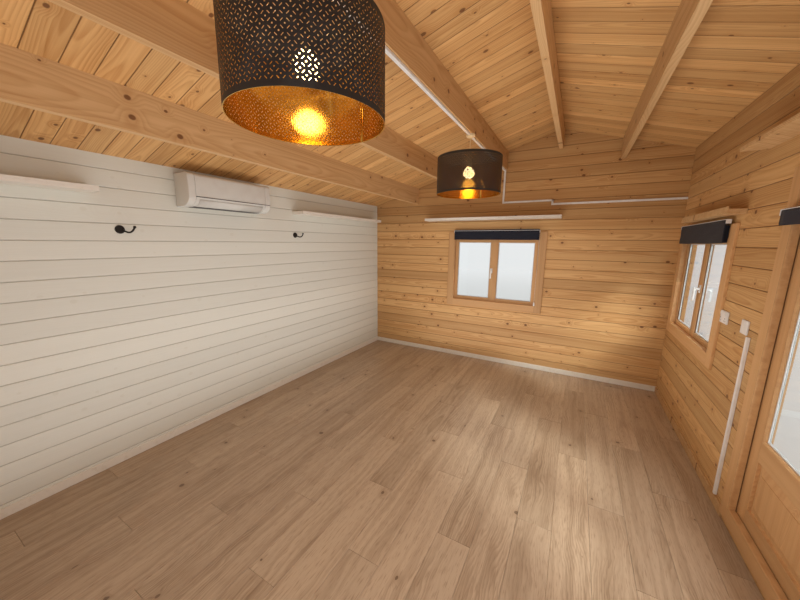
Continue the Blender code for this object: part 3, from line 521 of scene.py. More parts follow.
rear_logs, shader, colour, joint, wood, (x, y, z) = log_finish("rear_logs", "y", SIDE_JOINT,
                                                               WALL_MIDDLE_X, 150.0)
facing_room = calc("GREATER_THAN", x, ROOM_FACE_X - 0.0065)
painted = calc("MULTIPLY", facing_room, calc("LESS_THAN", calc("ABSOLUTE", y), ROOM_END_Y))
shows_through = calc("MULTIPLY_ADD", wood["streak"], 0.35, calc("MULTIPLY", wood["late"], 0.10))
shows_through = calc("MULTIPLY_ADD", wood["knot"], 0.30, shows_through)
paint = blend(shows_through, PAINT, PAINT_WORN)
paint = darken(paint, calc("MULTIPLY_ADD", wood["luck"][0], 0.08, 0.94))
# The grey in the joints is painted shade of the V grooves.
paint = blend(joint, paint, PAINT_JOINT_SHADE)
feed(shader, "Base Color", blend(painted, colour, paint))
retouch(["rear_wall"], rear_logs)


# Ridge beam and purlins: planed pine on edge, let into both gables, their ends sawn
# square under the roof's overhang.
ROOF_RISE = 0.2905
RIDGE_X = 0.68
RIDGE_Z = 3.060
BEAM_PALE = (0.67, 0.445, 0.225, 1.0)
BEAM_DARK = (0.48, 0.260, 0.100, 1.0)
BEAM_MIDDLE_DROP = 0.105
BEAMS = ["ridge_beam", "purlin_front", "purlin_rear_high", "purlin_rear_middle", "purlin_rear_low"]


def below_roof(x, z):
    """Height over the underside of the roof boards."""
    fall = calc("ABSOLUTE", calc("SUBTRACT", x, RIDGE_X))
    return calc("SUBTRACT", calc("MULTIPLY_ADD", fall, ROOF_RISE, z), RIDGE_Z)


beam_timber, shader = new_finish("beam_timber")
x, y, z = place_in(beam_timber)
beam = calc("FLOOR", calc("MULTIPLY_ADD", x, 1 / 0.62, 3.3))
across = calc("ADD", below_roof(x, z), BEAM_MIDDLE_DROP)
wood = growth(y, across, calc("PINGPONG", x, 0.31), beam)
colour = timber_colour(wood, BEAM_PALE, BEAM_DARK, 0.36)
dress(shader, end_grain(colour, y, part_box("ridge_beam")[1][1]), wood)
retouch(BEAMS, beam_timber)


# Roof boards: tongued pine boards from the ridge down to the eaves, nailed to the
# purlins, with a fine V joint every 120 mm on the side that the room sees.
ROOF_BOARD_JOINT = -0.084
ROOF_BOARD_PITCH = 0.120
ROOF_BOARD_EDGE = 0.0024
ROOF_GAP = 0.0003
ROOF_PALE = (0.72, 0.435, 0.180, 1.0)
ROOF_DARK = (0.46, 0.218, 0.066, 1.0)


def roof_height(x):
    """How high the underside of the roof boards lies at a place across the pod."""
    return RIDGE_Z - ROOF_RISE * abs(x - RIDGE_X)


def shear_to_roof(mesh):
    """Lays a flat mesh, whose heights count from the boards' underside, on the roof's slope."""
    for corner in mesh.verts:
        corner.co.z += roof_height(corner.co.x)


roof_timber, shader = new_finish("roof_timber")
x, y, z = place_in(roof_timber)
front_slope = calc("GREATER_THAN", x, RIDGE_X)
number, across = courses(y, ROOF_BOARD_JOINT, ROOF_BOARD_PITCH, calc("MULTIPLY", front_slope, 57.0))
wood = growth(x, across, below_roof(x, z), number)
colour = timber_colour(wood, ROOF_PALE, ROOF_DARK, 0.42)
half_board = ROOF_BOARD_PITCH / 2
# The V joints between the boards get painted shade.
dress(shader, shaded_joint(colour, across, half_board - 0.004, half_board - 0.0012)[0], wood)

for slope in ("rear", "front"):
    low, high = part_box("roof_boards_" + slope)
    thickness = high[2] - RIDGE_Z
    mesh = bmesh.new()
    start = ROOF_BOARD_JOINT
    while start > low[1]:
        start -= ROOF_BOARD_PITCH
    while start < high[1]:
        near, far = max(start, low[1]), min(start + ROOF_BOARD_PITCH, high[1])
        add_block(mesh, (low[0], near + ROOF_GAP, 0.0), (high[0], far - ROOF_GAP, thickness),
                  ROOF_BOARD_EDGE)
        start += ROOF_BOARD_PITCH
    shear_to_roof(mesh)
    finished("roof_boarding_" + slope, mesh, [roof_timber],
             stands_for=["roof_boards_" + slope])


# Roof covering: mineral roofing felt, laid from the eaves up in strips that lap each
# other, nailed along the laps, with a folded strip over the ridge.
FELT_SOLID = 0.006
FELT_SHEET = 0.0032
FELT_STRIP = 0.98
FELT_LAP = 0.075
FELT_LIFT = 0.0026
BITUMEN_BEAD = 0.007
BITUMEN_HEIGHT = 0.0014
NAIL_RADIUS = 0.006
NAIL_HEIGHT = 0.0016
NAIL_GAP = 0.15
NAIL_FROM_EDGE = 0.030
NAIL_FROM_RIDGE = 0.16
FELT_DARK = (0.040, 0.042, 0.045, 1.0)
FELT_GRAIN = (0.135, 0.138, 0.142, 1.0)

roofing_felt, shader = new_finish("roofing_felt", 0.95)
spot = object_point(roofing_felt)
granules = noise(spot, 420.0, 1.0)
flecks = noise(spot, 70.0, 3.0, 0.7)
patches = noise(spot, 1.6, 4.0, 0.6)
streaks = noise(scaled(spot, (0.7, 14.0, 1.0)), 1.0, 3.0)
weather = calc("ADD", fade(patches, 0.35, 0.70), fade(streaks, 0.40, 0.75))
weather = calc("ADD", weather, fade(flecks, 0.40, 0.62))
amount = calc("MULTIPLY", board_number(roofing_felt), 0.10)
amount = calc("MULTIPLY_ADD", fade(granules, 0.42, 0.66), 0.75, amount)
amount = calc("MULTIPLY_ADD", weather, 0.30, amount)
feed(shader, "Base Color", blend(calc("MULTIPLY", amount, 0.72), FELT_DARK, FELT_GRAIN))
emboss(shader, granules, 0.5, 0.0012)
retouch(["ridge_cap"], roofing_felt)

bitumen = mottled("bitumen", 0.85, 0.0, 30.0, (0.006, 0.006, 0.007, 1.0), (0.020, 0.020, 0.021, 1.0))[0]
galvanised = mottled("galvanised_nail", 0.65, 0.4, 300.0, (0.16, 0.16, 0.165, 1.0),
                     (0.30, 0.30, 0.305, 1.0))[0]


def add_nail(mesh, x, y, lift):
    """A clout nail's flat head on the roof's slope, lift over the boards' underside."""
    ends = bmesh.ops.create_cone(mesh, cap_ends=True, segments=8, radius1=NAIL_RADIUS,
                                 radius2=NAIL_RADIUS * 0.8, depth=NAIL_HEIGHT)["verts"]
    tilt = math.atan(ROOF_RISE) * (1 if x > RIDGE_X else -1)
    bmesh.ops.rotate(mesh, verts=ends, matrix=Matrix.Rotation(tilt, 3, "Y"))
    bmesh.ops.translate(mesh, vec=(x, y, roof_height(x) + lift), verts=ends)


for slope, side in (("rear", -1), ("front", 1)):
    low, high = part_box("roof_felt_" + slope)
    eave = low[0] if side < 0 else high[0]
    underside = high[2] - RIDGE_Z - FELT_SOLID * math.sqrt(1 + ROOF_RISE ** 2)
    top = underside + FELT_SHEET
    length = abs(eave - RIDGE_X)
    strip_count = math.ceil(length / (FELT_STRIP - FELT_LAP))
    mesh = numbered_mesh()
    nails = bmesh.new()
    for n in range(strip_count):
        lower_edge = eave - side * n * length / strip_count
        upper_edge = eave - side * min((n + 1) * length / strip_count + FELT_LAP, length - 0.0005)
        known = set(mesh.verts)
        add_block(mesh, (min(lower_edge, upper_edge), low[1], underside),
                  (max(lower_edge, upper_edge), high[1], top), number=n % 3)
        if not n:
            continue
        for corner in set(mesh.verts) - known:
            if abs(corner.co.x - lower_edge) < 0.001:
                corner.co.z += FELT_LIFT
        for face in add_block(mesh, (lower_edge - BITUMEN_BEAD, low[1] + 0.001, top),
                              (lower_edge + BITUMEN_BEAD, high[1] - 0.001, top + BITUMEN_HEIGHT), 0.0005):
            face.material_index = 1
        nail_y = low[1] + NAIL_FROM_EDGE
        while nail_y < high[1]:
            add_nail(nails, lower_edge - side * NAIL_FROM_EDGE, nail_y, top + FELT_LIFT)
            nail_y += NAIL_GAP
    for nail_y in (low[1] + NAIL_FROM_EDGE, high[1] - NAIL_FROM_EDGE):
        nail_x = eave - side * NAIL_FROM_EDGE
        while abs(nail_x - RIDGE_X) > NAIL_FROM_RIDGE:
            add_nail(nails, nail_x, nail_y, top + 0.001)
            nail_x -= side * NAIL_GAP
    shear_to_roof(mesh)
    finished("felt_strips_" + slope, mesh, [roofing_felt, bitumen],
             stands_for=["roof_felt_" + slope])
    finished("felt_nails_" + slope, nails, [galvanised])


# Fascias and bargeboards: planed pine boards that close the eaves and the verges.
# Their grain runs along the eaves and up the slope.
VERGE_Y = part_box("fascia_front")[1][1] - 0.0001

trim_timber, shader = new_finish("trim_timber")
x, y, z = place_in(trim_timber)
on_gable = calc("GREATER_THAN", calc("ABSOLUTE", y), VERGE_Y)
run = calc("ADD", y, calc("MULTIPLY", on_gable, calc("SUBTRACT", x, y)))
number = calc("ADD", calc("SIGN", y), calc("MULTIPLY", calc("GREATER_THAN", x, RIDGE_X), 4.0))
number = calc("MULTIPLY_ADD", on_gable, 9.0, number)
wood = growth(run, below_roof(x, z), 0.0, number)
dress(shader, timber_colour(wood, BEAM_PALE, BEAM_DARK), wood)
retouch(nodes_from("fascia_", "bargeboard_"), trim_timber)


# Windows: pine joinery, a frame that clamps the cut logs and two sashes that meet in the
# middle. Stiles run past the rails, so the grain turns at a butt joint in each corner.
JOINERY_PALE = (0.62, 0.375, 0.175, 1.0)
JOINERY_DARK = (0.46, 0.240, 0.095, 1.0)
JOINERY_RING = 0.0042
JOINERY_HEART = 0.03
BUTT_JOINT = 0.0009
FRAME_MEMBER = 0.045
FRAME_TRIM = 0.040
SASH_STILE = 0.052


def joinery_finish(name, node, axis, member, panel=None):
    """Pine stiles and rails of one frame, sash or leaf, with its butt joints drawn in."""
    finish, shader = new_finish(name)
    low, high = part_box(node)
    at = place_in(finish)
    u, v = at[axis], at[2]
    centre_u, centre_v = (low[axis] + high[axis]) / 2, (low[2] + high[2]) / 2
    stile_edge = (high[axis] - low[axis]) / 2 - member
    from_centre = calc("SUBTRACT", u, centre_u)
    off_u = calc("ABSOLUTE", from_centre)
    upright = calc("GREATER_THAN", off_u, stile_edge)
    joint = fade(calc("ABSOLUTE", calc("SUBTRACT", off_u, stile_edge)), BUTT_JOINT, 0.0)
    number = calc("MULTIPLY_ADD", calc("SIGN", from_centre), upright, 3.0 * axis + centre_u + centre_v)
    rail = calc("GREATER_THAN", v, centre_v)
    turned = upright
    if panel:
        bottom, top, glass = panel
        for edge in (bottom, top, glass):
            rail = calc("ADD", rail, calc("GREATER_THAN", v, edge))
        on_panel = calc("MULTIPLY", calc("GREATER_THAN", v, bottom), calc("LESS_THAN", v, top))
        turned = calc("MAXIMUM", upright, on_panel)
    rail = calc("MULTIPLY", calc("SUBTRACT", 1.0, upright), calc("MULTIPLY_ADD", rail, 1.7, 5.0))
    number = calc("ADD", number, rail)
    along_rail = calc("SUBTRACT", 1.0, turned)
    run = calc("ADD", calc("MULTIPLY", v, turned), calc("MULTIPLY", u, along_rail))
    across = calc("ADD", calc("MULTIPLY", u, turned), calc("MULTIPLY", v, along_rail))
    depth = calc("SUBTRACT", at[1 - axis], (low[1 - axis] + high[1 - axis]) / 2 + JOINERY_HEART)
    wood = growth(run, across, depth, number, JOINERY_RING, 0.0)
    colour = timber_colour(wood, JOINERY_PALE, JOINERY_DARK, 0.5)
    # The dark hairline at each butt joint is painted shade.
    colour = blend(calc("MULTIPLY", joint, 0.7), colour, JOINT_PAINTED_SHADE)
    dress(shader, colour, wood, (0.36, 0.50), 0.15)
    return finish


clear_glass, shader = new_finish("clear_glass", 0.02)
feed(shader, "Base Color", (0.93, 0.96, 0.95, 1.0))
feed(shader, "Transmission Weight", 1.0)
feed(shader, "IOR", 1.45)
feed(shader, "Roughness", fade(noise(object_point(clear_glass), 7.0, 4.0), 0.45, 0.75, 0.01, 0.05))
tree = clear_glass.node_tree
lets_light_by = put("ShaderNodeBsdfTransparent", {"Color": (0.90, 0.93, 0.92, 1.0)}, tree).outputs[0]
shadow_ray = put("ShaderNodeLightPath", tree=tree).outputs["Is Shadow Ray"]
pane = put("ShaderNodeMixShader", {0: shadow_ray, 1: shader.outputs[0], 2: lets_light_by})
show(clear_glass, pane.outputs[0])
retouch([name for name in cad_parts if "_glass_" in name], clear_glass)

for prefix, axis in (("gable_window", 0), ("front_window", 1)):
    for node, member in ((prefix + "_frame", FRAME_MEMBER + FRAME_TRIM),
                         (prefix + "_sash_left", SASH_STILE), (prefix + "_sash_right", SASH_STILE)):
        retouch([node], joinery_finish(node + "_pine", node, axis, member))


# Window fittings: white beads round each pane on both faces, and on the meeting stile a
# white handle that points down when the sash is shut.
BEAD_WIDTH = 0.0085
BEAD_HEIGHT = 0.004
SEAL_SETBACK = 0.0006
PANE_REBATE = 0.008
PANE_GAP = 0.0002
HANDLE_PLATE = (0.030, 0.068, 0.009)
HANDLE_GRIP = (0.020, 0.118, 0.013)
HANDLE_NECK = (0.016, 0.020)
HANDLE_STANDOFF = 0.032
HANDLE_ABOVE_FLOOR = 1.28
OFF_FACE = 0.0003
WHITE_PLASTIC = (0.80, 0.80, 0.785, 1.0)
WHITE_SHADED = (0.70, 0.695, 0.67, 1.0)
FLOOR_TOP = floor_high[2]


def moulded_white(name, roughness, pale=WHITE_PLASTIC, shaded=WHITE_SHADED):
    """White plastic with a faint moulding texture and slight yellowing."""
    finish, shader = new_finish(name, roughness)
    spot = object_point(finish)
    feed(shader, "Base Color", blend(fade(noise(spot, 9.0, 3.0), 0.35, 0.75), pale, shaded))
    emboss(shader, noise(spot, 900.0, 1.0), 0.06, 0.0004)
    return finish


white_plastic = moulded_white("white_plastic", 0.30)
seal_white = moulded_white("seal_white", 0.55, (0.72, 0.74, 0.74, 1.0), (0.60, 0.62, 0.62, 1.0))


def turned_to(axis, u, through, z):
    """A point from its place along a wall, through it and its height."""
    return (u, through, z) if axis == 0 else (through, u, z)


def add_slab(mesh, axis, along, through, heights, edge=0.0, segments=1):
    """Adds a block from its spans along a wall, through it and upwards."""
    low, high = zip(along, through, heights)
    return add_block(mesh, turned_to(axis, *low), turned_to(axis, *high), edge, segments)


def add_rim(mesh, axis, inner, width, through, edge=0.0008):
    """Four beads round an opening (low u, low z, high u, high z), mitre ends hidden in each other."""
    low_u, low_z, high_u, high_z = inner
    for along, heights in (((low_u - width, high_u + width), (low_z - width, low_z)),
                           ((low_u - width, high_u + width), (high_z, high_z + width)),
                           ((low_u - width, low_u), (low_z, high_z)),
                           ((high_u, high_u + width), (low_z, high_z))):
        add_slab(mesh, axis, along, through, heights, edge)


def pane_beads(panes, axis):
    """The beads round some panes, on both faces of each."""
    mesh = bmesh.new()
    inset = PANE_REBATE - SEAL_SETBACK + BEAD_WIDTH
    for pane in panes:
        low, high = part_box(pane)
        opening = (low[axis] + inset, low[2] + inset, high[axis] - inset, high[2] - inset)
        for face, out in ((low[1 - axis], -1), (high[1 - axis], 1)):
            through = sorted((face + out * PANE_GAP, face + out * BEAD_HEIGHT))
            add_rim(mesh, axis, opening, BEAD_WIDTH, through)
    return mesh


for prefix, axis in (("gable_window", 0), ("front_window", 1)):
    beads = pane_beads([prefix + "_glass_left", prefix + "_glass_right"], axis)
    finished(prefix + "_beads", beads, [seal_white])

    sash_low, sash_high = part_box(prefix + "_sash_left")
    room_face = sash_low[1 - axis] - OFF_FACE
    handle_u = sash_high[axis] - SASH_STILE / 2
    handle_z = FLOOR_TOP + HANDLE_ABOVE_FLOOR
    handle = bmesh.new()
    for (width, height), above, reach in (
            (HANDLE_PLATE[:2], 0.0, (0.0, HANDLE_PLATE[2])),
            (HANDLE_GRIP[:2], -0.5 * HANDLE_GRIP[1] + 0.012,
             (HANDLE_STANDOFF, HANDLE_STANDOFF + HANDLE_GRIP[2])),
            (HANDLE_NECK, 0.0, (HANDLE_PLATE[2] - 0.001, HANDLE_STANDOFF + 0.004))):
        middle = handle_z + above
        add_slab(handle, axis, (handle_u - width / 2, handle_u + width / 2),
                 (room_face - reach[1], room_face - reach[0]), (middle - height / 2, middle + height / 2),
                 0.0035, 3)
    finished(prefix + "_handle", handle, [white_plastic], smooth=40)


# Double door: pine stiles and rails round a raised panel and a tall pane, on a frame
# like the windows'. The handle and hinges are brushed steel; a metal strip caps the sill.
DOOR_STILE = 0.095
PANEL_BOTTOM = 0.317
PANEL_TOP = 0.612
GLASS_BOTTOM = 0.732
SILL_X = (1.905, 1.9565)
SILL_Y = (-1.0725, 0.4285)
SILL_RIBS = 4
SILL_STRIP_TOP = 0.0022
SILL_RIB_TOP = 0.0034
SILL_RIB_WIDTH = 0.0024
STEEL = (0.56, 0.56, 0.57, 1.0)
STEEL_WORN = (0.42, 0.42, 0.43, 1.0)
DOOR_FACE = 1.9577
PIN_Y = (-1.073, 0.429)
PIN_Z = (0.389, 1.149, 1.889)
HINGE_REACH = 0.0425
HINGE_HALF_HEIGHT = 0.0455


def steel_hinges(finish):
    """Turns what stands proud of the timber round the hinge pins to brushed steel."""
    shader = finish.node_tree.nodes["Principled BSDF"]
    timber, gloss = [shader.inputs[key].links[0].from_socket for key in ("Base Color", "Roughness")]
    x, y, z = place_in(finish)
    from_middle = calc("ABSOLUTE", calc("SUBTRACT", y, (PIN_Y[0] + PIN_Y[1]) / 2))
    by_pin = calc("COMPARE", from_middle, (PIN_Y[1] - PIN_Y[0]) / 2, HINGE_REACH)
    level = 0.0
    for pin_z in PIN_Z:
        level = calc("ADD", calc("COMPARE", z, pin_z, HINGE_HALF_HEIGHT), level)
    steel = calc("MULTIPLY", calc("MULTIPLY", by_pin, level), calc("GREATER_THAN", x, DOOR_FACE))
    scuffs = noise(object_point(finish), 400.0)
    feed(shader, "Base Color", blend(steel, timber, blend(scuffs, STEEL_WORN, STEEL)))
    worn = fade(scuffs, 0.3, 0.7, 0.28, 0.42)
    feed(shader, "Roughness", put("ShaderNodeMix", {0: steel, 2: gloss, 3: worn}).outputs[0])
    feed(shader, "Metallic", steel)


brushed_steel, shader = new_finish("brushed_steel", 0.32, 1.0)
brushing = noise(scaled(object_point(brushed_steel), (700.0, 60.0, 700.0)), 1.0)
feed(shader, "Base Color", blend(brushing, STEEL_WORN, STEEL))
feed(shader, "Roughness", fade(brushing, 0.3, 0.7, 0.24, 0.42))
retouch(["door_handle"], brushed_steel)
for node, member, panel in (("door_frame", FRAME_MEMBER + FRAME_TRIM, None),
                            ("door_leaf_far", DOOR_STILE, (PANEL_BOTTOM, PANEL_TOP, GLASS_BOTTOM)),
                            ("door_leaf_near", DOOR_STILE, (PANEL_BOTTOM, PANEL_TOP, GLASS_BOTTOM))):
    finish = joinery_finish(node + "_pine", node, 1, member, panel)
    steel_hinges(finish)
    retouch([node], finish)

for hand in ("far", "near"):
    finished(f"door_beads_{hand}", pane_beads(["door_glass_" + hand], 1), [seal_white],
             body=hand + "_door")

sill_mesh = bmesh.new()
sill_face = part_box("door_frame")[0][2] + FRAME_MEMBER
add_block(sill_mesh, (SILL_X[0], SILL_Y[0], sill_face - 0.0002),
          (SILL_X[1], SILL_Y[1], sill_face + SILL_STRIP_TOP), 0.0008)
for n in range(SILL_RIBS):
    rib_x = SILL_X[0] + (n + 1) * (SILL_X[1] - SILL_X[0]) / (SILL_RIBS + 1)
    add_block(sill_mesh, (rib_x - SILL_RIB_WIDTH / 2, SILL_Y[0] + 0.0005, sill_face + 0.0015),
              (rib_x + SILL_RIB_WIDTH / 2, SILL_Y[1] - 0.0005, sill_face + SILL_RIB_TOP), 0.0006)
finished("door_sill_strip", sill_mesh, [brushed_steel])


# Shelves: painted board on the window gable and the rear wall, bare pine high over the
# door and a narrow picture ledge over the front window.
LEDGE_Y = (1.01, 2.06)
LEDGE_Z = (1.955, 1.987)
LEDGE_DEPTH = 0.10
LEDGE_LIP = (0.010, 0.016)
SHELF_PAINT = (0.78, 0.745, 0.67, 1.0)
SHELF_WORN = (0.62, 0.55, 0.44, 1.0)

painted_board, shader = new_finish("painted_board")
x, y, z = place_in(painted_board)
wood = growth(calc("ADD", x, y), calc("SUBTRACT", x, y), z, 7.0)
amount = calc("MULTIPLY_ADD", wood["late"], 0.16, fade(wood["streak"], 0.5, 0.8))
colour = blend(calc("MULTIPLY", amount, 0.5), SHELF_PAINT, SHELF_WORN)
dress(shader, colour, wood, (0.42, 0.55), 0.12)
retouch(["gable_shelf", "rear_shelf_near", "rear_shelf_far"], painted_board)

planed_pine, shader = new_finish("planed_pine")
x, y, z = place_in(planed_pine)
wood = growth(calc("ADD", x, y), calc("SUBTRACT", x, y), z, calc("FLOOR", calc("MULTIPLY", z, 6.0)))
dress(shader, timber_colour(wood, BEAM_PALE, BEAM_DARK, 0.5), wood)
retouch(["front_high_shelf"], planed_pine)

ledge = bmesh.new()
wall_x = -ROOM_FACE_X
add_block(ledge, (wall_x - LEDGE_DEPTH, LEDGE_Y[0], LEDGE_Z[0]),
          (wall_x - OFF_FACE, LEDGE_Y[1], LEDGE_Z[1]), 0.002, 2)
add_block(ledge, (wall_x - LEDGE_DEPTH, LEDGE_Y[0], LEDGE_Z[1] - 0.001),
          (wall_x - LEDGE_DEPTH + LEDGE_LIP[0], LEDGE_Y[1], LEDGE_Z[1] + LEDGE_LIP[1]), 0.002, 2)
finished("picture_ledge", ledge, [planed_pine])


# Blinds: navy cotton, drawn up in flat folds under a head rail, one at each window and one
# over the door. White end brackets hold each head rail.
BLIND_RUNS = 8
BLIND_COLUMNS = 40
FOLD_STEPS = 8
FOLD_LIFT = 0.004
FOLD_STAGGER = 0.003
FOLD_WAVE = 0.0006
BLIND_CLOTH = 0.0011
BLIND_SAG = 0.0035
BLIND_TOP_GAP = 0.006
NAVY = (0.0085, 0.0115, 0.022, 1.0)
NAVY_LIT = (0.018, 0.022, 0.036, 1.0)
THREAD = 0.0011
BRACKET = 0.004
BRACKET_GAP = 0.0005
BRACKET_HANG = 0.026
BRACKET_RISE = 0.004

navy_cloth, shader = new_finish("navy_cloth", 0.9)
feed(shader, "Sheen Weight", 0.08)
feed(shader, "Sheen Roughness", 0.5)
weave = put("ShaderNodeTexCoord", tree=navy_cloth.node_tree).outputs["UV"]
uv_parts = put("ShaderNodeSeparateXYZ", {0: weave}).outputs
threads = calc("MULTIPLY", *[calc("SINE", calc("MULTIPLY", uv_parts[n], math.tau / THREAD)) for n in (0, 1)])
slubs = noise(scaled(weave, (3.0, 90.0, 1.0)), 3.0, 3.0)
amount = calc("MULTIPLY_ADD", threads, 0.14, fade(slubs, 0.30, 0.75))
feed(shader, "Base Color", blend(amount, NAVY, NAVY_LIT))
emboss(shader, threads, 0.3, 0.0004)


def thicken(piece, name, thickness, offset):
    """Gives a sheet its thickness; offset says to which side."""
    sheet = piece.modifiers.new(name, "SOLIDIFY")
    sheet.thickness = thickness
    sheet.offset = offset
    return sheet


def fold_profile(depth, drop, runs, length):
    """Side view of the drawn-up cloth, as (place through the wall, height) from its head."""
    points = []
    gap = depth / (runs + 0.5)
    fold = (length - drop) / (runs - 1)
    for run in range(runs):
        through = depth - gap * (run + 0.5)
        bottom = -drop if run == 0 else -drop + FOLD_LIFT + FOLD_STAGGER * (run % 3)
        top = 0.0 if run == 0 else bottom + fold - gap
        heights = (top, bottom) if run % 2 == 0 else (bottom, top)
        for step in range(FOLD_STEPS + 1):
            share = step / FOLD_STEPS
            points.append((through + FOLD_WAVE * math.sin(share * math.pi * 3 + run),
                           heights[0] + (heights[1] - heights[0]) * share))
    return points


def folded_blind(name, axis, middle, cut, top, drop, room_side, depth, stands_for=()):
    """A drawn-up blind of real cloth size, hung against the face at room_side + depth."""
    width, cut_length = cut
    profile = fold_profile(depth - 0.002, drop, BLIND_RUNS, cut_length)
    mesh = bmesh.new()
    grid = bmesh.ops.create_grid(mesh, x_segments=BLIND_COLUMNS, y_segments=len(profile) - 1, size=0.5,
                                 calc_uvs=False)
    layer = mesh.loops.layers.uv.new("UVMap")
    for face in mesh.faces:
        for loop in face.loops:
            loop[layer].uv = ((loop.vert.co.x + 0.5) * width, (loop.vert.co.y + 0.5) * cut_length)
    for corner in grid["verts"]:
        share = corner.co.x + 0.5
        through, height = profile[round((0.5 - corner.co.y) * (len(profile) - 1))]
        fall = height / drop
        height += BLIND_SAG * fall * math.sin(share * math.pi) * (0.6 + 0.4 * math.sin(share * 9.0))
        through += 0.0009 * math.sin(share * 23.0 + height * 60.0)
        corner.co = turned_to(axis, middle + (share - 0.5) * width, room_side + depth - through, top + height)
    blind = finished(name, mesh, [navy_cloth], smooth=60, stands_for=stands_for)
    thicken(blind, "cloth", BLIND_CLOTH, 0.0)


def head_rail(name, axis, middle, width, top, room_side, depth):
    """The white brackets and slim rail that the cloth hangs from."""
    mesh = bmesh.new()
    wall_side = room_side + depth
    for end in (-1, 1):
        edge_u = middle + end * (width / 2 + BRACKET / 2 + BRACKET_GAP)
        add_slab(mesh, axis, (edge_u - BRACKET / 2, edge_u + BRACKET / 2), (room_side, wall_side),
                 (top - BRACKET_HANG, top + BRACKET_RISE), 0.001, 2)
    add_slab(mesh, axis, (middle - width / 2, middle + width / 2), (room_side + 0.001, wall_side),
             (top + 0.0012, top + 0.0052), 0.001, 2)
    finished(name, mesh, [white_plastic])


WINDOW_BLIND = (1.10, 1.00)
WINDOW_BLIND_DEPTH = 0.030
DOOR_BLIND = (1.54, 0.62)
DOOR_BLIND_MIDDLE = -0.315
DOOR_BLIND_TOP = 1.925
DOOR_BLIND_DROP = 0.075
DOOR_BLIND_FACE = 1.8364
DOOR_BLIND_DEPTH = 0.040

for name, axis in (("gable_window_blind", 0), ("front_window_blind", 1)):
    low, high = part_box(name)
    middle = (low[axis] + high[axis]) / 2
    room_side, top = low[1 - axis], high[2] - BLIND_TOP_GAP
    head_rail(name + "_folds_head_rail", axis, middle, WINDOW_BLIND[0], top, room_side, WINDOW_BLIND_DEPTH)
    folded_blind(name + "_folds", axis, middle, WINDOW_BLIND, top, top - low[2] - 0.004, room_side,
                 WINDOW_BLIND_DEPTH, [name])
head_rail("door_blind_head_rail", 1, DOOR_BLIND_MIDDLE, DOOR_BLIND[0], DOOR_BLIND_TOP, DOOR_BLIND_FACE,
          DOOR_BLIND_DEPTH)
folded_blind("door_blind", 1, DOOR_BLIND_MIDDLE, DOOR_BLIND, DOOR_BLIND_TOP, DOOR_BLIND_DROP,
             DOOR_BLIND_FACE, DOOR_BLIND_DEPTH)


# Pull cord: a thin white cord that hangs plumb from the gable blind's right bracket,
# drawn straight by the drop-shaped weight on its end.
PULL_LENGTH = 0.880
PULL_DIAMETER = 0.0020
PULL_STEPS = 20
WEIGHT_RADIUS = 0.013
WEIGHT_LENGTH = 0.055
WEIGHT_TAPER = 0.60
CORD_IN_WEIGHT = 0.004

low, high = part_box("gable_window_blind")
pull_x = (low[0] + high[0] + WINDOW_BLIND[0] + BRACKET) / 2 + BRACKET_GAP
pull_y = (low[1] + high[1]) / 2
pull_top = high[2] - BLIND_TOP_GAP - BRACKET_HANG
route = [(pull_x, pull_y, pull_top - PULL_LENGTH * n / PULL_STEPS) for n in range(PULL_STEPS + 1)]
mesh = bmesh.new()
bmesh.ops.create_cone(mesh, cap_ends=True, segments=10, radius1=PULL_DIAMETER / 2,
                      radius2=PULL_DIAMETER / 2, depth=PULL_LENGTH)
bmesh.ops.translate(mesh, verts=mesh.verts, vec=(pull_x, pull_y, pull_top - PULL_LENGTH / 2))
pull_cord = finished("blind_pull_cord", mesh, [white_plastic], smooth=40)

mesh = bmesh.new()
bmesh.ops.create_uvsphere(mesh, u_segments=20, v_segments=14, radius=1.0)
weight_top = route[-1][2] + CORD_IN_WEIGHT
for corner in mesh.verts:
    up = (corner.co.z + 1) / 2
    girth = WEIGHT_RADIUS * (1 - WEIGHT_TAPER * up)
    corner.co = (pull_x + corner.co.x * girth, pull_y + corner.co.y * girth,
                 weight_top - (1 - up) * WEIGHT_LENGTH)
pull_weight = finished("blind_pull_weight", mesh, [white_plastic], smooth=60)


# Air conditioner: a glossy white moulded casing with a plain front, an end cap on each
# side, a dark line of painted shade over the outlet and a flap that closes it.
AIR_END_CAP = 0.055
AIR_CORNER = 0.030
AIR_BELLY = (0.105, 0.080)
AIR_EDGE = 0.006
AIR_LINE_HEIGHT = 0.072
AIR_SEAM = 0.0015
AIR_FRONT_SETBACK = 0.0025
AIR_GAP_SHADE = (0.030, 0.030, 0.032, 1.0)
FLAP_TURN = (0.22, 0.82)
FLAP_STEPS = 8
FLAP_INSET = 0.085
FLAP_PROUD = 0.0018
FLAP_SHEET = 0.003

glossy_white = moulded_white("glossy_white", 0.16, (0.66, 0.66, 0.62, 1.0), (0.62, 0.61, 0.57, 1.0))
painted_gap_shade = mottled("painted_gap_shade", 0.5, 0.0, 60.0, AIR_GAP_SHADE, (0.07, 0.07, 0.07, 1.0))[0]


def casing_outline(low, high, grow):
    """Side view of the casing (X, Z): flat back and front, rounded top and a full round belly."""
    back, front = low[0], high[0] + grow
    bottom, top = low[2] - grow, high[2] + grow
    belly_x, belly_z = AIR_BELLY
    outline = [(back, bottom), (back, top)]
    for n in range(7):
        angle = math.pi / 2 * (1 - n / 6)
        outline.append((front - AIR_CORNER + AIR_CORNER * math.cos(angle),
                        top - AIR_CORNER + AIR_CORNER * math.sin(angle)))
    for n in range(11):
        angle = -math.pi / 2 * n / 10
        outline.append((front - belly_x + belly_x * math.cos(angle),
                        bottom + belly_z + belly_z * math.sin(angle)))
    return outline


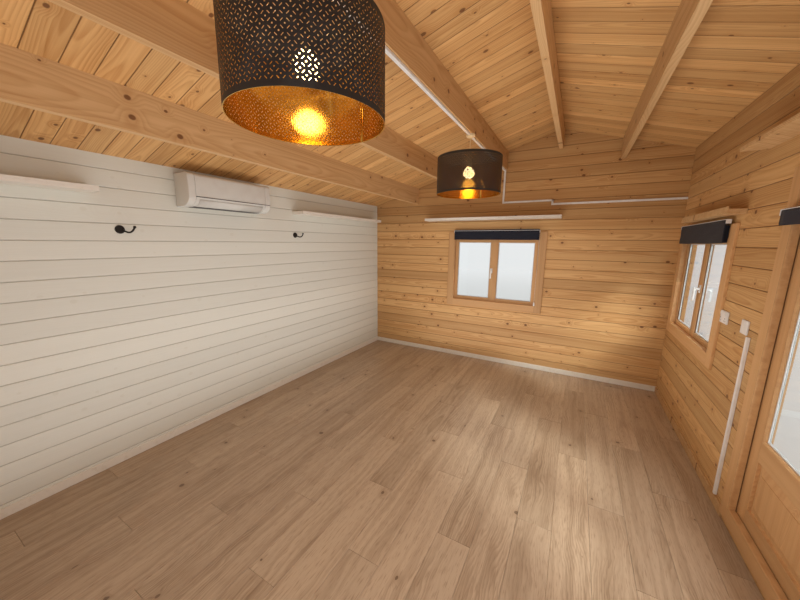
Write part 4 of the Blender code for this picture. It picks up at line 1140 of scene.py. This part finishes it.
def add_casing(mesh, low, high, grow, start, end, edge):
    """A length of the casing's section along the wall, with its end edges eased."""
    outline = [mesh.verts.new((a, start, b)) for a, b in casing_outline(low, high, grow)]
    first = mesh.faces.new(outline)
    pushed = bmesh.ops.extrude_face_region(mesh, geom=[first])["geom"]
    moved = [item for item in pushed if isinstance(item, bmesh.types.BMVert)]
    bmesh.ops.translate(mesh, vec=(0.0, end - start, 0.0), verts=moved)
    ends = [item for item in pushed if isinstance(item, bmesh.types.BMFace)] + [first]
    rim = [line for face in ends for line in face.edges]
    bmesh.ops.bevel(mesh, geom=rim, offset=edge, segments=3, profile=0.5, affect="EDGES", material=-1)


low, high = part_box("air_conditioner")
casing = bmesh.new()
seams = (low[1] + AIR_END_CAP, high[1] - AIR_END_CAP)
for start, end, grow, edge in ((low[1], seams[0], 0.0, AIR_EDGE),
                               (seams[0] + AIR_SEAM, seams[1] - AIR_SEAM, -AIR_FRONT_SETBACK, 0.001),
                               (seams[1], high[1], 0.0, AIR_EDGE)):
    add_casing(casing, low, high, grow, start, end, edge)
bmesh.ops.recalc_face_normals(casing, faces=casing.faces)
finished("air_casing", casing, [glossy_white], smooth=35, stands_for=["air_conditioner"])

front_face = high[0]
# Dark blocks of painted shade stand for the recess line over the outlet and for the outlet itself.
gap = bmesh.new()
add_block(gap, (front_face - 0.010, low[1] + AIR_END_CAP, low[2] + AIR_LINE_HEIGHT),
          (front_face + 0.0008, high[1] - 0.006, low[2] + AIR_LINE_HEIGHT + 0.005), 0.0008)
add_block(gap, (low[0] + 0.030, low[1] + 0.075, low[2] - 0.0012),
          (high[0] - 0.085, high[1] - 0.075, low[2] + 0.006), 0.001)
finished("air_outlet_line", gap, [painted_gap_shade])

flap = bmesh.new()
corners = []
for n in range(FLAP_STEPS + 1):
    angle = -math.pi / 2 * (FLAP_TURN[0] + (FLAP_TURN[1] - FLAP_TURN[0]) * n / FLAP_STEPS)
    corners.append(flap.verts.new((high[0] - AIR_BELLY[0] + (AIR_BELLY[0] + FLAP_PROUD) * math.cos(angle),
                                   low[1] + FLAP_INSET,
                                   low[2] + AIR_BELLY[1] + (AIR_BELLY[1] + FLAP_PROUD) * math.sin(angle))))
for pair in zip(corners[:-1], corners[1:]):
    flap.edges.new(pair)
pushed = bmesh.ops.extrude_edge_only(flap, edges=flap.edges[:])["geom"]
moved = [item for item in pushed if isinstance(item, bmesh.types.BMVert)]
bmesh.ops.translate(flap, vec=(0.0, high[1] - low[1] - 2 * FLAP_INSET, 0.0), verts=moved)
bmesh.ops.recalc_face_normals(flap, faces=flap.faces)
thicken(finished("air_flap", flap, [glossy_white], smooth=35), "flap", FLAP_SHEET, 1.0)


# Pendants: two drums of black sheet, pierced with dots and slanting slits and brass
# coloured inside, each on three arms round a lamp holder under a plain ceiling rose.
SHADE_RADIUS = 0.278
SHADE_WALL = 0.0009
SHADE_COLUMNS = 200
SHADE_ROWS = 31
DOT_SIZE = 0.0040
SLIT_LENGTH = 0.0102
SLIT_WIDTH = 0.0021
RIM_WIRE = 0.0018
SHEET_INSET = 0.0004
WIRE_INSET = 0.0022
SEAM_STRIPS = ((0.0, 0.014, 0.0008), (-0.0065, 0.0016, 0.0016), (0.0065, 0.0016, 0.0016))
BULB_NECK = ((0.019, 0.028), (0.0135, 0.016), (0.0130, 0.001), (0.0, 0.0005))
SHADE_SEAM = math.radians(82.0)
SHADE_BLACK = (0.018, 0.018, 0.019, 1.0)
SHADE_DUST = (0.034, 0.033, 0.033, 1.0)
BRASS = (0.94, 0.60, 0.14, 1.0)
BRASS_DULL = (0.62, 0.35, 0.065, 1.0)
LAMP_CREAM = (0.80, 0.70, 0.48, 1.0)
BULB_COLOUR = (1.0, 0.70, 0.32, 1.0)
BULB_STRENGTH = 15.0

shade_black, shader = new_finish("shade_black", 0.55)
spot = object_point(shade_black)
dust = noise(spot, 14.0, 4.0)
feed(shader, "Base Color", blend(fade(dust, 0.4, 0.8), SHADE_BLACK, SHADE_DUST))
feed(shader, "Roughness", fade(dust, 0.3, 0.7, 0.46, 0.66))
emboss(shader, noise(spot, 700.0, 1.0), 0.12, 0.0003)

brass_lining, shader = new_finish("brass_lining", 0.13, 0.95)
spot = object_point(brass_lining)
dents = noise(spot, 130.0, 3.0, 0.65)
clouds = noise(spot, 11.0, 3.0)
tarnish = calc("MULTIPLY", fade(clouds, 0.35, 0.7), 0.45)
tarnish = calc("MULTIPLY_ADD", fade(dents, 0.44, 0.62), 0.55, tarnish)
feed(shader, "Base Color", blend(tarnish, BRASS, BRASS_DULL))
feed(shader, "Roughness", fade(clouds, 0.3, 0.7, 0.09, 0.17))
emboss(shader, dents, 0.22, 0.0010)

cream_fitting = moulded_white("cream_fitting", 0.40, LAMP_CREAM, (0.72, 0.60, 0.38, 1.0))
retouch(["pendant_fitting_near", "pendant_fitting_far"], cream_fitting)

bulb_glow, shader, swirl = mottled("bulb_glow", 0.2, 0.0, 40.0, (0.95, 0.80, 0.55, 1.0),
                                   (1.0, 0.88, 0.66, 1.0))
feed(shader, "Emission Color", BULB_COLOUR)
feed(shader, "Emission Strength", BULB_STRENGTH)


def pierced_sheet(height):
    """The drum's sheet, cut flat: a grid whose cells are pierced by dots and slanting slits."""
    mesh = bmesh.new()
    cell = math.tau * SHADE_RADIUS / SHADE_COLUMNS
    band = (height - SHADE_ROWS * cell) / 2
    bmesh.ops.create_grid(mesh, x_segments=SHADE_COLUMNS, y_segments=SHADE_ROWS + 2, size=0.5)
    rows = SHADE_ROWS + 2
    for corner in mesh.verts:
        row = round((corner.co.y + 0.5) * rows)
        rise = 0.0 if row == 0 else height if row == rows else band + (row - 1) * cell
        corner.co = ((corner.co.x + 0.5) * SHADE_COLUMNS * cell, rise, 0.0)
    dots, slits = [], []
    for face in mesh.faces:
        middle = face.calc_center_median()
        column, row = int(middle.x / cell), int((middle.y - band) / cell + 1.0)
        if band < middle.y < height - band:
            if (column % 4, row % 4) in ((0, 0), (2, 2)):
                dots.append(face)
            elif column % 2 and row % 2:
                slits.append((face, 135 if column % 4 == row % 4 else 45))
    pierced = dots + [face for face, slant in slits]
    bmesh.ops.inset_individual(mesh, faces=pierced, thickness=(cell - DOT_SIZE) / 2, use_even_offset=True)
    half_angle = math.degrees(math.atan2(SLIT_WIDTH, SLIT_LENGTH))
    turns = {3: -half_angle, 0: half_angle, 1: 180 - half_angle, 2: 180 + half_angle}
    reach = math.hypot(SLIT_WIDTH, SLIT_LENGTH) / 2
    for face, slant in slits:
        middle = face.calc_center_median()
        for corner in face.verts:
            away = corner.co - middle
            quarter = round(((math.degrees(math.atan2(away.y, away.x)) - slant) % 360) / 90) % 4
            angle = math.radians(slant + turns[quarter])
            corner.co = middle + reach * Vector((math.cos(angle), math.sin(angle), 0.0))
    bmesh.ops.delete(mesh, geom=pierced, context="FACES_ONLY")
    return mesh


def add_ring(mesh, centre, radius, height, wire):
    """A round wire bent to a full ring."""
    circle = bmesh.ops.create_circle(mesh, segments=8, radius=wire)["verts"]
    bmesh.ops.rotate(mesh, verts=circle, matrix=Matrix.Rotation(math.pi / 2, 3, "X"))
    bmesh.ops.translate(mesh, verts=circle, vec=(centre[0] + radius, centre[1], height))
    lines = list({line for corner in circle for line in corner.link_edges})
    bmesh.ops.spin(mesh, geom=circle + lines, cent=(centre[0], centre[1], height), axis=(0.0, 0.0, 1.0),
                   angle=math.tau, steps=96, use_merge=True)


def add_turned(mesh, centre, profile, steps):
    """A profile of (radius, height) turned round an upright axis; ends on the axis close it."""
    corners = [mesh.verts.new((centre[0] + radius, centre[1], height)) for radius, height in profile]
    lines = [mesh.edges.new(pair) for pair in zip(corners[:-1], corners[1:])]
    bmesh.ops.spin(mesh, geom=corners + lines, cent=(centre[0], centre[1], 0.0), axis=(0.0, 0.0, 1.0),
                   angle=math.tau, steps=steps, use_merge=True)
    bmesh.ops.remove_doubles(mesh, verts=mesh.verts, dist=0.00002)
    bmesh.ops.recalc_face_normals(mesh, faces=mesh.faces)


for hand in ("near", "far"):
    low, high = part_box("pendant_shade_" + hand)
    centre = ((low[0] + high[0]) / 2, (low[1] + high[1]) / 2)
    drum = pierced_sheet(high[2] - low[2])
    for corner in drum.verts:
        angle = corner.co.x / SHADE_RADIUS
        corner.co = (centre[0] + (SHADE_RADIUS - SHEET_INSET) * math.cos(angle),
                     centre[1] + (SHADE_RADIUS - SHEET_INSET) * math.sin(angle), low[2] + corner.co.y)
    bmesh.ops.remove_doubles(drum, verts=drum.verts, dist=0.00005)
    bmesh.ops.recalc_face_normals(drum, faces=drum.faces)
    outside = drum.faces[:][0]
    if outside.normal.xy.dot(outside.calc_center_median().xy - Vector(centre)) < 0:
        bmesh.ops.reverse_faces(drum, faces=drum.faces)
    shade = finished("pierced_shade_" + hand, drum, [shade_black, brass_lining],
                     stands_for=["pendant_shade_" + hand])
    wall = thicken(shade, "sheet", SHADE_WALL, -1.0)
    wall.material_offset = 1
    wall.material_offset_rim = 1

    wires = bmesh.new()
    for height in (low[2] + RIM_WIRE, high[2] - RIM_WIRE):
        add_ring(wires, centre, SHADE_RADIUS - WIRE_INSET, height, RIM_WIRE)
    turn = Matrix.Rotation(SHADE_SEAM, 3, "Z")
    inner = SHADE_RADIUS - SHADE_WALL - 0.0006
    for offset, wide, thick in SEAM_STRIPS:
        faces = add_block(wires, (inner - thick, offset - wide / 2, low[2] + 0.001),
                          (inner, offset + wide / 2, high[2] - 0.001), 0.0003)
        strip = list({corner for face in faces for corner in face.verts})
        bmesh.ops.rotate(wires, verts=strip, matrix=turn)
        bmesh.ops.translate(wires, verts=strip, vec=(*centre, 0.0))
    bmesh.ops.recalc_face_normals(wires, faces=wires.faces)
    finished("shade_rims_" + hand, wires, [brass_lining], smooth=50)

    low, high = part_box("pendant_bulb_" + hand)
    wide = (high[0] - low[0]) / 2
    profile = [(0.0, low[2])]
    for n in range(1, 13):
        angle = -math.pi / 2 + math.radians(132) * n / 12
        profile.append((wide * math.cos(angle), low[2] + wide + wide * math.sin(angle)))
    profile += [(radius, high[2] - down) for radius, down in BULB_NECK]
    globe = bmesh.new()
    add_turned(globe, centre, profile, 36)
    finished("bulb_globe_" + hand, globe, [bulb_glow], smooth=40,
             stands_for=["pendant_bulb_" + hand])


# Conduit and sockets: white square trunking under the high purlin from rose to rose, down
# the window gable and along it, and a drop by the door. A white double socket and a white
# switch plate sit on the front wall over and beside the drop.
TRUNK = 0.016
TRUNK_WIDTH = 0.022
PURLIN_UNDERSIDE = 2.6699
ROSE_CLEAR = 0.043
PENDANTS_Y = (-0.990, 0.936)
PURLIN_X = 0.06
TRUNK_DROP_Z = 2.280
TRUNK_LOW_Z = 2.235
TRUNK_JOG_X = 0.651
SOCKET_SIZE = (0.146, 0.086, 0.009)
SWITCH_SIZE = (0.086, 0.086, 0.009)
ROCKER = (0.014, 0.022)
ROCKER_LOW = 0.012
ROCKER_PROUD = 0.003
GANG_OFFSET = 0.036
HOLE_PROUD = 0.0006
SOCKET_HOLES = ((0.0, -0.008, 0.005, 0.009), (-0.011, -0.026, 0.007, 0.005), (0.011, -0.026, 0.007, 0.005))
SOCKET_SPOTS = ((1.036, 1.263, SOCKET_SIZE), (0.716, 1.263, SWITCH_SIZE))
DROP_Y = 0.641
DROP_Z = (0.168, 1.218)

trunking = bmesh.new()
gable_face = ROOM_END_Y - 0.0005
wall_face = -ROOM_FACE_X - OFF_FACE
trunk_sides = (PURLIN_X - TRUNK_WIDTH / 2, PURLIN_X + TRUNK_WIDTH / 2)
jog_left = TRUNK_JOG_X - TRUNK_WIDTH
stops = [-gable_face, *(rose + side * ROSE_CLEAR for rose in PENDANTS_Y for side in (-1, 1)), gable_face]
for near, far in zip(stops[::2], stops[1::2]):
    add_block(trunking, (trunk_sides[0], near, PURLIN_UNDERSIDE - TRUNK),
              (trunk_sides[1], far, PURLIN_UNDERSIDE - OFF_FACE), 0.002, 2)
for along, heights in ((trunk_sides, (TRUNK_DROP_Z, PURLIN_UNDERSIDE - TRUNK)),
                       ((trunk_sides[0], TRUNK_JOG_X), (TRUNK_DROP_Z - TRUNK_WIDTH, TRUNK_DROP_Z)),
                       ((jog_left, TRUNK_JOG_X), (TRUNK_LOW_Z, TRUNK_DROP_Z)),
                       ((jog_left, -ROOM_FACE_X - 0.001), (TRUNK_LOW_Z - TRUNK_WIDTH, TRUNK_LOW_Z))):
    add_slab(trunking, 0, along, (gable_face - TRUNK, gable_face), heights, 0.002, 2)
add_slab(trunking, 1, (DROP_Y - TRUNK_WIDTH / 2, DROP_Y + TRUNK_WIDTH / 2), (-ROOM_FACE_X - TRUNK, wall_face),
         DROP_Z, 0.002, 2)
finished("white_trunking", trunking, [white_plastic])

sockets = bmesh.new()
# The socket holes are dark blocks of painted shade that stand a little proud of the plate.
holes = bmesh.new()
for middle_y, middle_z, (width, height, thickness) in SOCKET_SPOTS:
    front = wall_face - thickness
    add_slab(sockets, 1, (middle_y - width / 2, middle_y + width / 2), (front, wall_face),
             (middle_z - height / 2, middle_z + height / 2), 0.0035, 3)
    is_socket = width > height
    for gang_y in ((middle_y - GANG_OFFSET, middle_y + GANG_OFFSET) if is_socket else (middle_y,)):
        rocker_z = middle_z + ROCKER_LOW
        add_slab(sockets, 1, (gang_y - ROCKER[0] / 2, gang_y + ROCKER[0] / 2),
                 (front - ROCKER_PROUD, front + 0.001), (rocker_z, rocker_z + ROCKER[1]), 0.001)
        for hole_y, hole_z, wide, tall in SOCKET_HOLES if is_socket else ():
            add_slab(holes, 1, (gang_y + hole_y - wide / 2, gang_y + hole_y + wide / 2),
                     (front - HOLE_PROUD, front + 0.002),
                     (middle_z + hole_z - tall / 2, middle_z + hole_z + tall / 2))
finished("socket_plates", sockets, [white_plastic], smooth=40)
finished("socket_holes", holes, [painted_gap_shade])


# Skirtings: painted board along the rear wall and the window gable, bare pine along the
# front wall and the plain gable, with an eased top edge.
SKIRTING = (0.012, 0.062)
SKIRTING_BY_DOOR = (-1.1625, 0.5185)
skirting_white, skirting_pine = bmesh.new(), bmesh.new()
inner_x, inner_y = -ROOM_FACE_X, ROOM_END_Y
thickness, height = SKIRTING
wall_x, wall_y = inner_x - OFF_FACE, inner_y - OFF_FACE
room_x, room_y = inner_x - thickness, inner_y - thickness
for mesh, start, end in ((skirting_white, (-wall_x, -room_y), (-room_x, room_y)),
                         (skirting_white, (-wall_x, room_y), (wall_x, wall_y)),
                         (skirting_pine, (-wall_x, -wall_y), (wall_x, -room_y)),
                         (skirting_pine, (room_x, SKIRTING_BY_DOOR[1]), (wall_x, room_y)),
                         (skirting_pine, (room_x, -room_y), (wall_x, SKIRTING_BY_DOOR[0]))):
    add_block(mesh, (*start, FLOOR_TOP + OFF_FACE), (*end, FLOOR_TOP + height), 0.003, 3)
finished("skirting_painted", skirting_white, [painted_board])
finished("skirting_pine", skirting_pine, [planed_pine])


# Wall hooks: two black iron coat hooks on the rear wall, each a round plate and an arm
# that bends out and up to a ball end.
HOOK_SPOTS = ((-0.884, 1.818), (0.726, 1.818))
HOOK_PLATE = (0.030, 0.008)
HOOK_ARM = 0.006
HOOK_STEPS = 12
HOOK_ARM_REACH = 0.052
HOOK_ARM_SPAN = 0.055
HOOK_ARM_DIP = 0.018
HOOK_ARM_RISE = 0.022

black_iron, shader, casting = mottled("black_iron", 0.45, 0.4, 240.0, (0.012, 0.012, 0.012, 1.0),
                                      (0.035, 0.034, 0.033, 1.0), 3.0)
emboss(shader, casting, 0.3, 0.0006)


def add_arm(mesh, points, radius):
    """A round bar through a few points, with a ball at its end."""
    last = None
    for n, at in enumerate(points):
        ahead = Vector(points[min(n + 1, len(points) - 1)]) - Vector(points[max(n - 1, 0)])
        at_end = n in (0, len(points) - 1)
        ring = bmesh.ops.create_circle(mesh, cap_ends=at_end, segments=12, radius=radius)["verts"]
        bmesh.ops.rotate(mesh, verts=ring, matrix=ahead.to_track_quat("Z", "Y").to_matrix())
        bmesh.ops.translate(mesh, verts=ring, vec=at)
        lines = list({line for corner in ring for line in corner.link_edges})
        if last:
            bmesh.ops.bridge_loops(mesh, edges=last + lines)
        last = lines
    ball = bmesh.ops.create_uvsphere(mesh, u_segments=14, v_segments=8, radius=radius * 1.6)["verts"]
    bmesh.ops.translate(mesh, verts=ball, vec=points[-1])


hooks = bmesh.new()
for hook_y, hook_z in HOOK_SPOTS:
    plate = bmesh.ops.create_cone(hooks, cap_ends=True, segments=32, radius1=HOOK_PLATE[0],
                                  radius2=HOOK_PLATE[0] * 0.86, depth=HOOK_PLATE[1])["verts"]
    bmesh.ops.rotate(hooks, verts=plate, matrix=Matrix.Rotation(math.pi / 2, 3, "Y"))
    bmesh.ops.translate(hooks, verts=plate, vec=(ROOM_FACE_X + HOOK_PLATE[1] / 2 + OFF_FACE, hook_y, hook_z))
    arm = []
    for share in (n / HOOK_STEPS for n in range(HOOK_STEPS + 1)):
        dip = HOOK_ARM_DIP * math.sin(share * math.pi)
        arm.append((ROOM_FACE_X + 0.006 + HOOK_ARM_REACH * math.sin(share * math.pi * 0.55),
                    hook_y + 0.012 + HOOK_ARM_SPAN * share,
                    hook_z - 0.004 - dip + HOOK_ARM_RISE * share ** 3))
    add_arm(hooks, arm, HOOK_ARM)
bmesh.ops.recalc_face_normals(hooks, faces=hooks.faces)
finished("coat_hooks", hooks, [black_iron], smooth=40)
